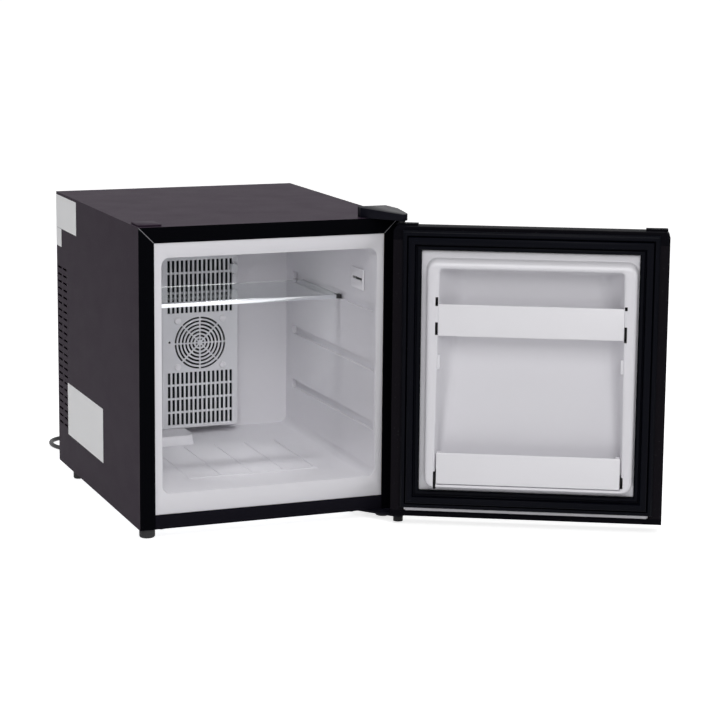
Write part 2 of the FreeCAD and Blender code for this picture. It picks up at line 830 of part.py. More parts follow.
def ring_grille(body, y_low, y_high, z, rings):
    """Rings of air slots crossed by two bars."""
    cut_low = y_low + " - overrun"
    cut_high = y_high + " + overrun" if body.Label == "rear_cover" else y_high
    circles = []
    for ring in range(1, int(num(rings)) + 1):
        for side in ("-", "+"):
            circles.append(("0", z, "grille_pitch * %d %s grille_slot / 2" % (ring, side)))
    pocket(body, "ring_slots", "XZ_Plane", cut_low, cut_high, *circles)
    reach = "grille_pitch * (%s + 1)" % rings
    half = "grille_spoke / 2"
    pad(body, "bar_across", "XZ_Plane", y_low, y_high, rect("-(%s)" % reach, z + " - " + half, reach, z + " + " + half))
    pad(body, "bar_upright", "XZ_Plane", y_low, y_high, rect("-" + half, "%s - %s" % (z, reach), half,
                                                          "%s + %s" % (z, reach)))
    slant = "grille_spoke * sqrt(0.5) / 2"
    tip = "%s * sqrt(0.5)" % reach
    for name, sign in (("rising", ""), ("falling", "-")):
        pad(body, "bar_" + name, "XZ_Plane", y_low, y_high, [
            ("-(%s) - %s(%s)" % (tip, sign, slant), "%s - %s(%s) + %s" % (z, sign, tip, slant)),
            ("-(%s) + %s(%s)" % (tip, sign, slant), "%s - %s(%s) - %s" % (z, sign, tip, slant)),
            ("%s + %s(%s)" % (tip, sign, slant), "%s + %s(%s) - %s" % (z, sign, tip, slant)),
            ("%s - %s(%s)" % (tip, sign, slant), "%s + %s(%s) + %s" % (z, sign, tip, slant))])


def duct_cover():
    """Box over the cold fan with four rows of slots above and below a round grille."""
    body = new_body("duct_cover")
    half = "duct_width / 2"
    rear = "liner_rear - fit_gap"
    low = "under + duct_bottom"
    high = "under + duct_top"
    pad(body, "box", "XZ_Plane", "duct_face", rear, rect("-" + half, low, half, high))
    pocket(body, "room", "XZ_Plane", "duct_face + duct_wall", rear + " + overrun",
           rect("-%s + duct_wall" % half, low + " + duct_wall", half + " - duct_wall", high + " - duct_wall"))
    ring_grille(body, "duct_face", "duct_face + duct_wall", "fan_level", "grille_rings")
    pocket(body, "side_hole", "XZ_Plane", "duct_face - overrun", "duct_face + duct_wall",
           ("-duct_hole_side", "fan_level + duct_hole_rise", "duct_hole_radius"))
    slot_grid(body, "lower_slots", "slot_lower_first")
    slot_grid(body, "upper_slots", "slot_upper_first")
    return body


def duct_fittings():
    """Screw caps round the grille, and the clip that holds the temperature sensor."""
    caps = []
    for x in ("-cap_spread / 2", "cap_spread / 2"):
        for z in ("fan_level - cap_spread / 2", "fan_level + cap_spread / 2"):
            caps.append(rod("cap", x, "duct_face - cap_height", z, "cap_radius", "cap_height", "back"))
    grouped("duct_screw_caps", caps)
    x = "duct_width / 2 - clip_inset - clip_width / 2"
    y = "duct_face - clip_depth / 2"
    z = "under + clip_level"
    body = new_body("sensor_clip")
    pad(body, "clip", "XY_Plane", z, z + " + clip_height",
        rect(x + " - clip_width / 2", "duct_face - clip_depth", x + " + clip_width / 2", "duct_face"),
        (x, y, "sensor_radius + pin_play"))
    sensor = rod("probe", x, y, z + " + (clip_height - sensor_length) / 2", "sensor_radius", "sensor_length")
    keep(sensor, "temperature_sensor")


def fan(name, size, depth, y):
    """A square fan: a frame whose rear arms carry the shaft, and a hub with twisted blades."""
    frame = new_body(name + "_frame")
    half = size + " / 2"
    bore = "(%s - fan_bore_margin)" % half
    hub = "(%s * fan_hub_share)" % half
    pad(frame, "square", "XZ_Plane", "0", depth, rect("-" + half, "-" + half, half, half), ("0", "0", bore))
    hole = "(%s - fan_hole_inset)" % half
    pocket(frame, "holes", "XZ_Plane", "-overrun", depth + " + overrun",
           *[(a + hole, b + hole, "fan_hole_radius") for a in ("", "-") for b in ("", "-")])
    arm_start = depth + " - fan_strut_depth"
    reach = bore + " + fan_bore_margin / 2"
    pad(frame, "arm_across", "XZ_Plane", arm_start, depth, rect("-(%s)" % reach, "-fan_strut / 2", reach,
                                                               "fan_strut / 2"))
    pad(frame, "arm_upright", "XZ_Plane", arm_start, depth, rect("-fan_strut / 2", "-(%s)" % reach,
                                                                "fan_strut / 2", reach))
    pad(frame, "motor_seat", "XZ_Plane", arm_start, depth, ("0", "0", hub))
    pad(frame, "shaft", "XZ_Plane", depth + " / 3", arm_start, ("0", "0", "fan_shaft_radius"))
    at(frame, "0", y, "fan_level")
    rotor = new_body(name + "_rotor")
    blade_rear = arm_start + " - fit_gap * 2"
    pad(rotor, "hub", "XZ_Plane", "fan_tip_gap", arm_start + " - fit_gap", ("0", "0", hub))
    pocket(rotor, "bore", "XZ_Plane", depth + " / 3 - fit_gap", depth, ("0", "0", "fan_shaft_radius + pin_play"))
    tip = "(%s - fan_tip_gap)" % bore
    root = hub + " * 0.9"
    corners = [(root, "-blade_wall / 2"), (tip, "-blade_wall / 2"), (tip, "blade_wall / 2"),
               (root, "blade_wall / 2")]
    swept = [("(%s) * cos(fan_sweep) - (%s) * sin(fan_sweep)" % pair, "(%s) * sin(fan_sweep) + (%s) * cos(fan_sweep)"
              % pair) for pair in corners]
    blade = loft("Additive", rotor, "blade", "XZ_Plane", "fan_tip_gap * 2", blade_rear, corners, swept)
    around(rotor, "blades", blade, "Y_Axis", "fan_blades")
    at(rotor, "0", y, "fan_level")


def finned(name, width, height, base_low, base_high, fin_low, fin_high, count):
    """An aluminium heat sink: a base plate and upright fins on one side of it."""
    body = new_body(name)
    half = width + " / 2"
    rise = height + " / 2"
    pad(body, "base", "XZ_Plane", base_low, base_high, rect("-" + half, "fan_level - " + rise, half,
                                                           "fan_level + " + rise))
    fin = pad(body, "fin", "XZ_Plane", fin_low, fin_high, rect("-" + half, "fan_level - " + rise,
                                                              "-%s + fin_wall" % half, "fan_level + " + rise))
    repeat(body, "fins", fin, "X_Axis", count, "(%s - fin_wall) / (%s - 1)" % (width, count))
    return body


def cooling():
    """The cold block, from the fan inside the liner to the fan behind the foam."""
    fan("cold_fan", "cold_fan_size", "cold_fan_depth", "duct_face + duct_wall")
    base = "liner_rear - cold_sink_base"
    finned("cold_sink", "cold_fan_size", "cold_fan_size", base, "liner_rear",
           "duct_face + duct_wall + cold_fan_depth + fit_gap", base, "cold_sink_fins")
    half = "spacer_size / 2"
    chip = "foam_back - peltier_wall"
    keep(block("spacer", "-" + half, "liner_rear", "fan_level - " + half, half, chip, "fan_level + " + half),
         "spacer_block")
    keep(block("chip", "-" + half, chip, "fan_level - " + half, half, "foam_back", "fan_level + " + half),
         "cooling_module")
    fins = "foam_back + hot_sink_base"
    finned("hot_sink", "hot_sink_width", "hot_sink_height", "foam_back", fins, fins, fins + " + hot_fin_height",
           "hot_sink_fins")
    fan("hot_fan", "hot_fan_size", "hot_fan_depth", fins + " + hot_fin_height + fit_gap")


def rear_panels():
    """Steel panel behind the foam and the vented cover of the machine compartment."""
    inner = new_body("rear_inner_panel")
    gap = "(skin + fit_gap)"
    half_x = "hot_sink_width / 2 + fit_gap"
    half_z = "hot_sink_height / 2 + fit_gap"
    pad(inner, "panel", "XZ_Plane", "foam_back + fit_gap", "machine_front",
        rect("left + " + gap, "under + " + gap, "right - " + gap, "over - " + gap),
        rect("-(%s)" % half_x, "fan_level - (%s)" % half_z, half_x, "fan_level + " + half_z))
    cover = new_body("rear_cover")
    edge = "(skin + fit_gap)"
    pad(cover, "panel", "XZ_Plane", "shell_back", "back",
        rect("left + " + edge, "under + " + edge, "right - " + edge, "over - " + edge),
        ("gland_x", "gland_z", "gland_root + fit_gap"),
        *cover_screw_holes())
    ring_grille(cover, "shell_back", "back", "fan_level", "grille_rings")
    exhaust_top = "over - rear_lip * 2"
    pocket(cover, "exhaust", "XZ_Plane", "shell_back - overrun", "back + overrun",
           *slot_row("slot_columns", "slot_pitch * 2", "slot_width * 2", exhaust_top + " - slot_height * 2",
                     exhaust_top))
    grouped("rear_cover_screws", [screw("cover_screw", x, "back + hinge_screw_cap", z, "forward")
                                  for x, z in cover_screw_places()])


def cover_screw_places():
    """Across and up places of the rear cover's screws, along the middle of the shell's rear lip."""
    sides = ("left + rear_lip / 2 + skin", "right - rear_lip / 2 - skin")
    levels = ("under + rear_lip / 2 + skin", "(under + over) / 2", "over - rear_lip / 2 - skin")
    return [(x, z) for x in sides for z in levels] + [("0", levels[0]), ("0", levels[2])]


def cover_screw_holes():
    """Round holes for the rear cover's screws."""
    return [(x, z, "hinge_screw_radius + fit_gap") for x, z in cover_screw_places()]


def power_board():
    """Circuit board of the power supply on four stand-offs, with its transformer and capacitors."""
    x0 = "left + board_side_inset"
    z0 = "under + board_level"
    y0 = "machine_front + board_standoff"
    y1 = y0 + " + board_wall"
    board = block("board", x0, y0, z0, x0 + " + board_length", y1, z0 + " + board_height")
    keep(board, "power_board")
    posts = []
    for x in (x0 + " + standoff_inset", x0 + " + board_length - standoff_inset"):
        for z in (z0 + " + standoff_inset", z0 + " + board_height - standoff_inset"):
            posts.append(rod("post", x, "machine_front", z, "standoff_radius", "board_standoff", "back"))
    grouped("board_standoffs", posts)
    keep(block("transformer", x0 + " + standoff_inset", y1, z0 + " + board_height / 4",
               x0 + " + standoff_inset + coil_box", y1 + " + coil_box_depth", z0 + " + board_height / 4 + coil_box"),
         "transformer")
    first = x0 + " + board_length - standoff_inset - can_pitch * (can_count - 1)"
    cans = [rod("can", "%s + can_pitch * %d" % (first, i), y1, z0 + " + board_height / 2", "can_radius",
                "can_height", "back") for i in range(int(num("can_count")))]
    grouped("capacitors", cans)


def thermostat():
    """Temperature dial in the right wall: a plate with a slot, its box in the foam and the dial."""
    outer = "wall_right - %s - fit_gap" % wall_at("plate_front + plate_length")
    inner = outer + " - plate_wall"
    y0 = "front + plate_front"
    y1 = y0 + " + plate_length"
    z0 = "under + plate_level"
    dial_x = inner + " - dial_proud + dial_radius"
    dial_y = y0 + " + plate_length / 2"
    dial_z = z0 + " + plate_height / 2"
    plate = new_body("thermostat_plate")
    pad(plate, "plate", "YZ_Plane", inner, outer, rect(y0, z0, y1, z0 + " + plate_height"),
        rect(dial_y + " - dial_slot / 2", dial_z + " - dial_slot_height / 2", dial_y + " + dial_slot / 2",
             dial_z + " + dial_slot_height / 2"))
    box = new_body("thermostat_housing")
    inset = "housing_inset + fit_gap"
    end = "right - skin - fit_gap * 3"
    wall = "housing_wall"
    low = "%s + %s" % (z0, inset)
    high = "%s + plate_height - (%s)" % (z0, inset)
    pad(box, "box", "XY_Plane", low, high, rect(outer, "%s + %s" % (y0, inset), end, "%s - (%s)" % (y1, inset)))
    pocket(box, "room", "YZ_Plane", outer + " - overrun", end + " - " + wall,
           rect("%s + %s + %s" % (y0, inset, wall), low + " + " + wall, "%s - (%s) - %s" % (y1, inset, wall),
                high + " - " + wall))
    pad(box, "pin", "XY_Plane", low, high, (dial_x, dial_y, "dial_pin_radius"))
    seat = dial_z + " - dial_wall / 2 - fit_gap"
    pad(box, "pin_collar", "XY_Plane", low, seat, (dial_x, dial_y, "dial_pin_radius * 2"))
    dial = new_body("thermostat_dial")
    pad(dial, "disc", "XY_Plane", "-dial_wall / 2", "dial_wall / 2", ("0", "0", "dial_radius"),
        ("0", "0", "dial_pin_radius + pin_play"))
    notch = pocket(dial, "notch", "XY_Plane", "-dial_wall", "dial_wall", ("dial_radius + dial_tooth / 3", "0",
                                                                         "dial_tooth"))
    around(dial, "notches", notch, "Z_Axis", "dial_teeth")
    at(dial, dial_x, dial_y, dial_z)


def ceiling_lamp():
    """Flat lamp under the ceiling in front of the shelf, with its lens."""
    top = "ceiling_front - %s - fit_gap" % wall_at("lamp_front + lamp_depth")
    y0 = "front + lamp_front"
    keep(block("lamp", "-lamp_length / 2", y0, top + " - lamp_wall", "lamp_length / 2", y0 + " + lamp_depth", top),
         "lamp_housing")
    keep(block("lens", "-lamp_length / 2 + lens_margin", y0 + " + lens_margin", top + " - lamp_wall - lens_wall",
               "lamp_length / 2 - lens_margin", y0 + " + lamp_depth - lens_margin", top + " - lamp_wall"),
         "lamp_lens")


def arc_points(x, y, radius, start, end, count):
    """Expressions of points round a centre, from one angle to another."""
    points = []
    for i in range(count + 1):
        angle = start + (end - start) * i / count
        points.append(("%s + %s * cos(%g)" % (x, radius, angle), "%s + %s * sin(%g)" % (y, radius, angle)))
    return points


NOSE_START = 216
NOSE_END = 360
NOSE_STEPS = 8


def hinge_outline(inset, back):
    """Outline of a hinge plate or cover: straight at the back, slanting to a nose round the pivot."""
    nose = arc_points("pivot_x", "pivot_y", "(nose_radius - %s)" % inset, NOSE_START, NOSE_END, NOSE_STEPS)
    side = "pivot_x + nose_radius - " + inset
    start = "right - bracket_length + " + inset
    rear = "front + %s - %s" % (back, inset)
    return nose + [(side, "front"), (side + " - pivot_side", rear), (start, rear),
                   (start, "front + bracket_back / 2 + " + inset)]


def upper_hinge():
    """Upper hinge: steel plate on the cabinet's top, pin down into the door, screws and cover."""
    plate = new_body("top_hinge_bracket")
    play = "cover_wall + fit_gap"
    pad(plate, "plate", "XY_Plane", "over", "over + bracket_wall", hinge_outline("(%s)" % play, "bracket_back"),
        *[(x, y, "hinge_screw_radius + fit_gap") for x, y in hinge_screw_places()])
    pocket(plate, "pin_seat", "XY_Plane", "over", "over + bracket_wall", ("pivot_x", "pivot_y", "pin_radius"))
    keep(rod("pin", "pivot_x", "pivot_y", "door_high - top_cap / 2", "pin_radius",
             "over + bracket_wall - (door_high - top_cap / 2)"), "top_hinge_pin")
    grouped("top_hinge_screws", [screw("hinge_screw", x, y, "over + bracket_wall + hinge_screw_cap", "down")
                                 for x, y in hinge_screw_places()])
    cover = new_body("top_hinge_cover")
    pad(cover, "cover", "XY_Plane", "over", "over + cover_height", hinge_outline("0", "bracket_back"))
    pocket(cover, "room", "XY_Plane", "over - overrun", "over + cover_nose_height - cover_wall",
           hinge_outline("cover_wall", "bracket_back"))
    slope_start = "front + bracket_back"
    pocket(cover, "slope", "YZ_Plane", "left", "right + overrun",
           [(slope_start, "over + cover_height"), ("pivot_y - nose_radius", "over + cover_nose_height"),
            ("pivot_y - nose_radius - overrun", "over + cover_nose_height"),
            ("pivot_y - nose_radius - overrun", "over + cover_height + overrun"),
            (slope_start, "over + cover_height + overrun")])


def lower_hinge():
    """Lower hinge: steel plate under the cabinet, pin up into the door with its nut, and screws."""
    plate = new_body("bottom_hinge_bracket")
    pad(plate, "plate", "XY_Plane", "under - bracket_wall", "under", hinge_outline("0", "under_bracket_back"),
        *[(x, y, "hinge_screw_radius + fit_gap") for x, y in under_screw_places()])
    pocket(plate, "pin_seat", "XY_Plane", "under - bracket_wall", "under", ("pivot_x", "pivot_y", "pin_radius"))
    low = "under - bracket_wall"
    shaft = rod("shaft", "pivot_x", "pivot_y", low, "pin_radius", "door_low + bottom_cap * 0.8 - (%s)" % low)
    nut = rod("nut", "pivot_x", "pivot_y", low + " - pin_nut_height", "pin_nut_radius", "pin_nut_height")
    keep(joined("lower_pin", shaft, nut), "bottom_hinge_pin")
    grouped("bottom_hinge_screws", [screw("under_screw", x, y, "under - bracket_wall - hinge_screw_cap", "up")
                                    for x, y in under_screw_places()])


def small_covers():
    """Plate over the unused hinge holes at the left, and the bar's two screws."""
    body = new_body("hinge_hole_cover")
    x0 = "left + hole_plate_side"
    y0 = "front + hole_plate_front"
    pad(body, "plate", "XY_Plane", "over", "over + hole_plate_wall",
        rect(x0, y0, x0 + " + hole_plate_width", y0 + " + hole_plate_depth"))
    rounded(body, "corners", "hole_plate_radius", lambda edge: runs(edge, ALONG_Z))
    grouped("bar_screws", [screw("bar_screw", x, "front + bar_lip / 2", "under - hinge_screw_cap", "up")
                           for x in bar_screw_places()])


def stickers():
    """Three blank stickers on the cabinet's left side."""
    rear = "back - sticker_rear_inset"
    for name, y0, y1, level, height in (
            ("upper_sticker", rear + " - upper_sticker_length", rear, "upper_sticker_level", "upper_sticker_height"),
            ("middle_sticker", rear + " - middle_sticker_length", rear, "middle_sticker_level",
             "middle_sticker_height"),
            ("lower_sticker", "front + lower_sticker_front", "front + lower_sticker_front + lower_sticker_length",
             "lower_sticker_level", "lower_sticker_height")):
        low = "under + " + level
        keep(block(name + "_sheet", "left - sticker_wall", y0, low, "left", y1, "%s + %s" % (low, height)), name)


def swing(thing):
    """Turn a piece that was built with the door shut about the hinge to where the door stands."""
    bind(thing, "Placement.Rotation.Angle", "door_open")
    bind(thing, "Placement.Base.x", "pivot_x * (1 - cos(door_open)) + pivot_y * sin(door_open)")
    bind(thing, "Placement.Base.y", "pivot_y * (1 - cos(door_open)) - pivot_x * sin(door_open)")
    return thing


def near(value, text):
    """Whether a coordinate is at the place that an expression gives."""
    return abs(value - num(text)) < num("fit_gap")


def outer_upright(edge):
    """Whether an edge is one of the door's two upright edges on its outer face."""
    return runs(edge, ALONG_Z) and near(middle(edge).y, "door_outer")


def door_panel():
    """Painted steel face of the door, bent round both sides."""
    body = new_body("door_panel")
    profile = [("left", "door_inner"), ("left", "door_outer"), ("right", "door_outer"), ("right", "door_inner"),
               ("right - door_lip", "door_inner"), ("right - door_lip", "door_inner - skin"),
               ("right - skin", "door_inner - skin"), ("right - skin", "door_outer + skin"),
               ("left + skin", "door_outer + skin"), ("left + skin", "door_inner - skin"),
               ("left + door_lip", "door_inner - skin"), ("left + door_lip", "door_inner")]
    pad(body, "wrap", "XY_Plane", "door_low + bottom_cap", "door_high - top_cap", profile)
    rounded(body, "inner_bends", "door_rounding - skin",
            lambda edge: runs(edge, ALONG_Z) and near(middle(edge).y, "door_outer + skin"))
    rounded(body, "outer_bends", "door_rounding", outer_upright)
    return swing(body)


def door_caps():
    """Moulded caps at the door's top and bottom, with holes for the hinge pins on either side."""
    for name, low, high in (("door_bottom_cap", "door_low", "door_low + bottom_cap"),
                            ("door_top_cap", "door_high - top_cap", "door_high")):
        body = new_body(name)
        pad(body, "cap", "XY_Plane", low, high, rect("left", "door_outer", "right", "door_inner"))
        rounded(body, "uprights", "door_rounding", outer_upright)
        holes = [(x, "pivot_y", "pin_radius + pin_play") for x in ("pivot_x", "-pivot_x")]
        top = high
        if name == "door_top_cap":
            rounded(body, "brow", "cap_rounding", lambda edge: near(middle(edge).z, "door_high")
                    and edge.BoundBox.ZLength < num("fit_gap") and middle(edge).y < num("door_inner - door_wall / 2"))
            pocket(body, "room", "XY_Plane", low, high + " - cap_wall",
                   rect("left + cap_room_side", "door_outer + cap_rounding", "right - cap_room_side",
                        "door_inner - cap_wall"))
            top = high + " + boss_height"
            for side, x0 in (("left", "left + cap_wall"), ("right", "right - cap_wall - boss_length")):
                pad(body, "boss_" + side, "XY_Plane", high, top,
                    rect(x0, "pivot_y - boss_width / 2", x0 + " + boss_length", "pivot_y + boss_width / 2"))
        pocket(body, "pin_holes", "XY_Plane", low, top, *holes)
        swing(body)


def hinge_washer():
    """Washer between the lower hinge's plate and the door."""
    body = new_body("hinge_washer")
    pad(body, "ring", "XY_Plane", "under", "door_low - fit_gap", ("pivot_x", "pivot_y", "nose_radius"),
        ("pivot_x", "pivot_y", "pin_radius + pin_play"))


def pocket_outline(grow):
    """The door pocket's rectangle in its face, larger by grow all round."""
    return rect("pocket_left - (%s)" % grow, "under + pocket_bottom - (%s)" % grow, "pocket_right + (%s)" % grow,
                "over - pocket_top_drop + (%s)" % grow)


def dike_outline(grow):
    """The rectangle round the raised frame of the door's lining, larger by grow all round."""
    return rect("dike_left - (%s)" % grow, "under + dike_bottom - (%s)" % grow,
                "dike_right + (%s)" % grow, "over - dike_top_drop + (%s)" % grow)


def door_foam():
    """Foam inside the door, behind the steel face and round the pocket."""
    body = new_body("door_foam")
    gap = "(skin + fit_gap)"
    pad(body, "foam", "XY_Plane", "door_low + bottom_cap + fit_gap", "door_high - top_cap - fit_gap",
        rect("left + " + gap, "door_outer + " + gap, "right - " + gap, "door_inner - door_liner_wall - fit_gap"))
    rounded(body, "bends", "door_rounding - skin",
            lambda edge: runs(edge, ALONG_Z) and near(middle(edge).y, "door_outer + " + gap))
    pocket(body, "pocket_room", "XZ_Plane", "pocket_floor - door_liner_wall - fit_gap", "door_inner",
           pocket_outline("door_liner_wall + fit_gap"))
    return swing(body)


def off_sides(edge, form):
    """How far across an edge stands from the nearer side of the raised frame or of the pocket."""
    return min(abs(middle(edge).x - num(form + side)) for side in ("_left", "_right"))


def door_liner():
    """White moulded lining of the door: a raised frame round a deep pocket, with lugs for racks."""
    body = new_body("door_liner")
    wall = "door_liner_wall"
    lip = "door_lip + fit_gap"
    pad(body, "flange", "XZ_Plane", "door_inner - " + wall, "door_inner",
        rect("left + " + lip, "door_low + bottom_cap + fit_gap", "right - (%s)" % lip, "door_high - top_cap - fit_gap"))
    loft("Additive", body, "dike", "XZ_Plane", "door_inner", "dike_face", dike_outline("0"),
         dike_outline("-dike_draft"))
    reach = num("dike_draft + fit_gap")
    rounded(body, "dike_corners", "dike_radius", lambda edge: runs(edge, ALONG_Y)
            and off_sides(edge, "dike") < reach and edge.BoundBox.YLength > num("dike_height / 2"))
    pad(body, "pocket_back", "XZ_Plane", "pocket_floor - " + wall, "door_inner", pocket_outline(wall))
    room_low = "under + pocket_bottom + dike_radius"
    room_high = "over - pocket_top_drop - dike_radius * 2"
    rooms = [rect("dike_left + dike_draft + " + wall, room_low, "pocket_left - " + wall, room_high),
             rect("pocket_right + " + wall, room_low, "dike_right - dike_draft - " + wall, room_high)]
    pocket(body, "dike_rooms", "XZ_Plane", "door_inner - %s - overrun" % wall, "dike_face - " + wall, *rooms)
    loft("Subtractive", body, "pocket", "XZ_Plane", "pocket_floor", "dike_face", pocket_outline("-pocket_draft"),
         pocket_outline("0"))
    slack = num("pocket_draft + fit_gap")
    rounded(body, "pocket_corners", "pocket_radius", lambda edge: runs(edge, ALONG_Y)
            and off_sides(edge, "pocket") < slack and edge.BoundBox.YLength > num("pocket_depth - overrun"))
    for level in ("rack_low + lug_rise", "lug_spare", "rack_high + lug_rise"):
        for x0, x1 in (("pocket_left - %s / 2" % wall, "pocket_left + lug_length"),
                       ("pocket_right - lug_length", "pocket_right + %s / 2" % wall)):
            pad(body, "lug", "XZ_Plane", "lug_rear", "lug_rear + lug_width",
                rect(x0, "under + " + level, x1, "under + %s + lug_height" % level))
    return swing(body)


def gasket_frame(inset, width):
    """Two rectangles, one in the other, of a strip of the gasket at an inset from its rim."""
    rects = []
    for step in (inset, "%s + %s" % (inset, width)):
        rects.append(rect("left + gasket_side + " + step, "door_low + gasket_bottom + " + step,
                          "right - gasket_side - (%s)" % step, "door_high - gasket_top - (%s)" % step))
    return rects


def door_gasket():
    """Soft magnetic seal: a base and three raised strips."""
    body = new_body("door_gasket")
    pad(body, "base", "XZ_Plane", "door_inner", "door_inner + gasket_base", *gasket_frame("0", "gasket_width"))
    for i, (inset, width, drop) in enumerate((("skin", "gasket_ridge", "gasket_base"),
                                              ("gasket_width / 3", "gasket_ridge * 1.5", "0"),
                                              ("gasket_width - gasket_ridge", "gasket_ridge - skin * 2",
                                               "gasket_base * 1.5"))):
        pad(body, "ridge_%d" % i, "XZ_Plane", "door_inner + gasket_base", "door_inner + gasket_proud - " + drop,
            *gasket_frame(inset, width))
    return swing(body)


def door_rack(name, level):
    """Rack that hangs on two lugs in the door's pocket: front plate, floor, ends and two ears."""
    body = new_body(name)
    z = "under + " + level
    plate, tray, wall = {}, {}, {}
    for side, sign in (("left", "+"), ("right", "-")):
        plate[side] = "pocket_%s %s rack_end_gap" % (side, sign)
        tray[side] = "%s %s lug_length" % (plate[side], sign)
        wall[side] = "%s %s rack_wall" % (tray[side], sign)
    face = "dike_face"
    rear = "pocket_floor + fit_gap * 2"
    pad(body, "front_plate", "XZ_Plane", face + " - rack_front_wall", face,
        rect(plate["left"], z, plate["right"], z + " + rack_height"))
    pad(body, "floor", "XY_Plane", z, z + " + rack_wall", rect(tray["left"], rear, tray["right"], face))
    ear_y = "lug_rear + lug_width / 2 - ear_width / 2"
    lug_y = "lug_rear - fit_gap"
    for side in ("left", "right"):
        low, high = sorted((tray[side], wall[side]), key=num)
        pad(body, "end_" + side, "YZ_Plane", low, high, rect(rear, z, face, z + " + rack_height - rack_end_drop"))
        low, high = sorted((plate[side], tray[side]), key=num)
        ear_top = z + " + lug_rise + lug_height + rack_wall"
        pad(body, "ear_" + side, "YZ_Plane", low, high,
            rect(ear_y, ear_top + " - ear_height", ear_y + " + ear_width", ear_top))
        pocket(body, "notch_" + side, "YZ_Plane", low, high,
               rect(lug_y, z + " - overrun", lug_y + " + lug_width + fit_gap * 2",
                    z + " + lug_rise + lug_height + fit_gap"))
    return swing(body)


# Route of the free lead from the gland's tip to the start of the coil, chosen by hand.
LEAD_ROUTE = [
    (-145, 254, 48),
    (-145, 276, 46.5),
    (-147, 298, 34),
    (-152, 314, 15),
    (-162, 334, 3.4),
    (-172, 354, 3.4),
    (-172, 377, 3.4),
    (-161, 396, 3.4),
    (-142, 407, 3.4),
    (-120, 409, 3.4),
    (-98, 403, 3.4),
    (-76, 403, 3.4),
]
ARC_SHARE = 0.45
SAMPLES = 20


def bend(corner, before, after):
    """Tangent points and middle of the arc that rounds a corner of a route, and its radius."""
    back_way = before.sub(corner)
    on_way = after.sub(corner)
    reach = ARC_SHARE * min(back_way.Length, on_way.Length)
    back_way.normalize()
    on_way.normalize()
    half_turn = (math.pi - back_way.getAngle(on_way)) / 2
    radius = reach / math.tan(half_turn)
    inward = back_way.add(on_way)
    inward.normalize()
    centre_distance = radius / math.cos(half_turn)
    centre = corner.add(inward * centre_distance)
    mid = centre.sub(inward * radius)
    return corner.add(back_way * reach), mid, corner.add(on_way * reach), radius


def rounded_path(points):
    """A wire of straight runs joined by tangent arcs, and the arcs' radii."""
    edges = []
    radii = []
    last = points[0]
    for before, corner, after in zip(points, points[1:], points[2:]):
        start, mid, end, radius = bend(corner, before, after)
        edges.append(Part.LineSegment(last, start).toShape())
        edges.append(Part.Arc(start, mid, end).toShape())
        radii.append(radius)
        last = end
    edges.append(Part.LineSegment(last, points[-1]).toShape())
    return Part.Wire(edges), radii


def tube(path, radius):
    """A round tube along a wire, from a circle square to its start."""
    start = path.OrderedEdges[0]
    way = start.tangentAt(start.FirstParameter)
    ring = Part.Wire([Part.Circle(start.valueAt(start.FirstParameter), way, radius).toShape()])
    return path.makePipeShell([ring], True, False)


def free_lead():
    """The free stretch of the mains lead, from the gland to the coil."""
    path, radii = rounded_path([V(*point) for point in LEAD_ROUTE])
    print("lead radii", [round(radius, 1) for radius in radii])
    radius = num("cord_radius")
    shape = tube(path, radius)
    print("lead volume over section times length", shape.Volume / (math.pi * radius ** 2 * path.Length))
    feature = doc.addObject("Part::Feature", "power_cord")
    feature.Shape = shape
    keep(feature, "power_cord")
    return path.Length


def quarter_arcs(start, way, end):
    """Two quarter turns from a point with a level heading to one across, with the heading reversed."""
    step = end.sub(start)
    half = step.Length / 2
    joint = (start.add(end)).multiply(0.5).add(way * half)
    edges = []
    for a, b, toward in ((start, joint, way), (end, joint, way)):
        centre_way = end.sub(start).normalize()
        corner = a.add(toward * half)
        mid_way = (a.add(b).multiply(0.5)).sub(corner)
        mid = corner.add(mid_way.normalize() * (half * (math.sqrt(2) - 1)))
        edges.append(Part.Arc(a, mid, b).toShape() if a is start else Part.Arc(b, mid, a).toShape())
    return edges


def coil_points(start):
    """Points half a turn apart: in at a steady rate, up a layer in one half turn, and out again."""
    layer = int(num("coil_layer_halves"))
    pitch = num("coil_pitch")
    outer = 2 * num("coil_radius") + pitch * layer / 2
    points = [start]
    side = -1
    for i in range(2 * layer + 2):
        across = outer - pitch * min(i, 2 * layer - i)
        rise = num("coil_climb") if i == layer else 0
        points.append(points[-1].add(V(0, side * across, rise)))
        side = -side
    return points


def coiled_lead():
    """The put-away stretch of the lead as one tube that winds in on the floor and out on top."""
    radius = num("cord_radius")
    way = V(1, 0, 0)
    first = V(*LEAD_ROUTE[-1])
    start = first.add(way * (2 * radius))
    edges = [Part.LineSegment(first, start).toShape()]
    points = coil_points(start)
    for here, there in zip(points, points[1:]):
        edges += quarter_arcs(here, way, there)
        way = way * -1
    end = points[-1].add(way * num("coil_tail"))
    edges.append(Part.LineSegment(points[-1], end).toShape())
    path = Part.Wire(edges)
    shape = tube(path, radius)
    print("coil length", round(path.Length), "volume share", shape.Volume / (math.pi * radius ** 2 * path.Length))
    print("coil least gap to itself", round(least_gap(path) - 2 * radius, 2))
    feature = doc.addObject("Part::Feature", "cord_coil")
    feature.Shape = shape
    keep(feature, "cord_coil")
    return path.Length, end, way


def least_gap(path):
    """Least distance between points of a wound path that are more than half a turn apart."""
    samples = []
    for edge in path.OrderedEdges:
        samples += edge.discretize(SAMPLES)[:-1]
    return min(a.distanceToPoint(b) for i, a in enumerate(samples) for b in samples[i + 2 * SAMPLES:])


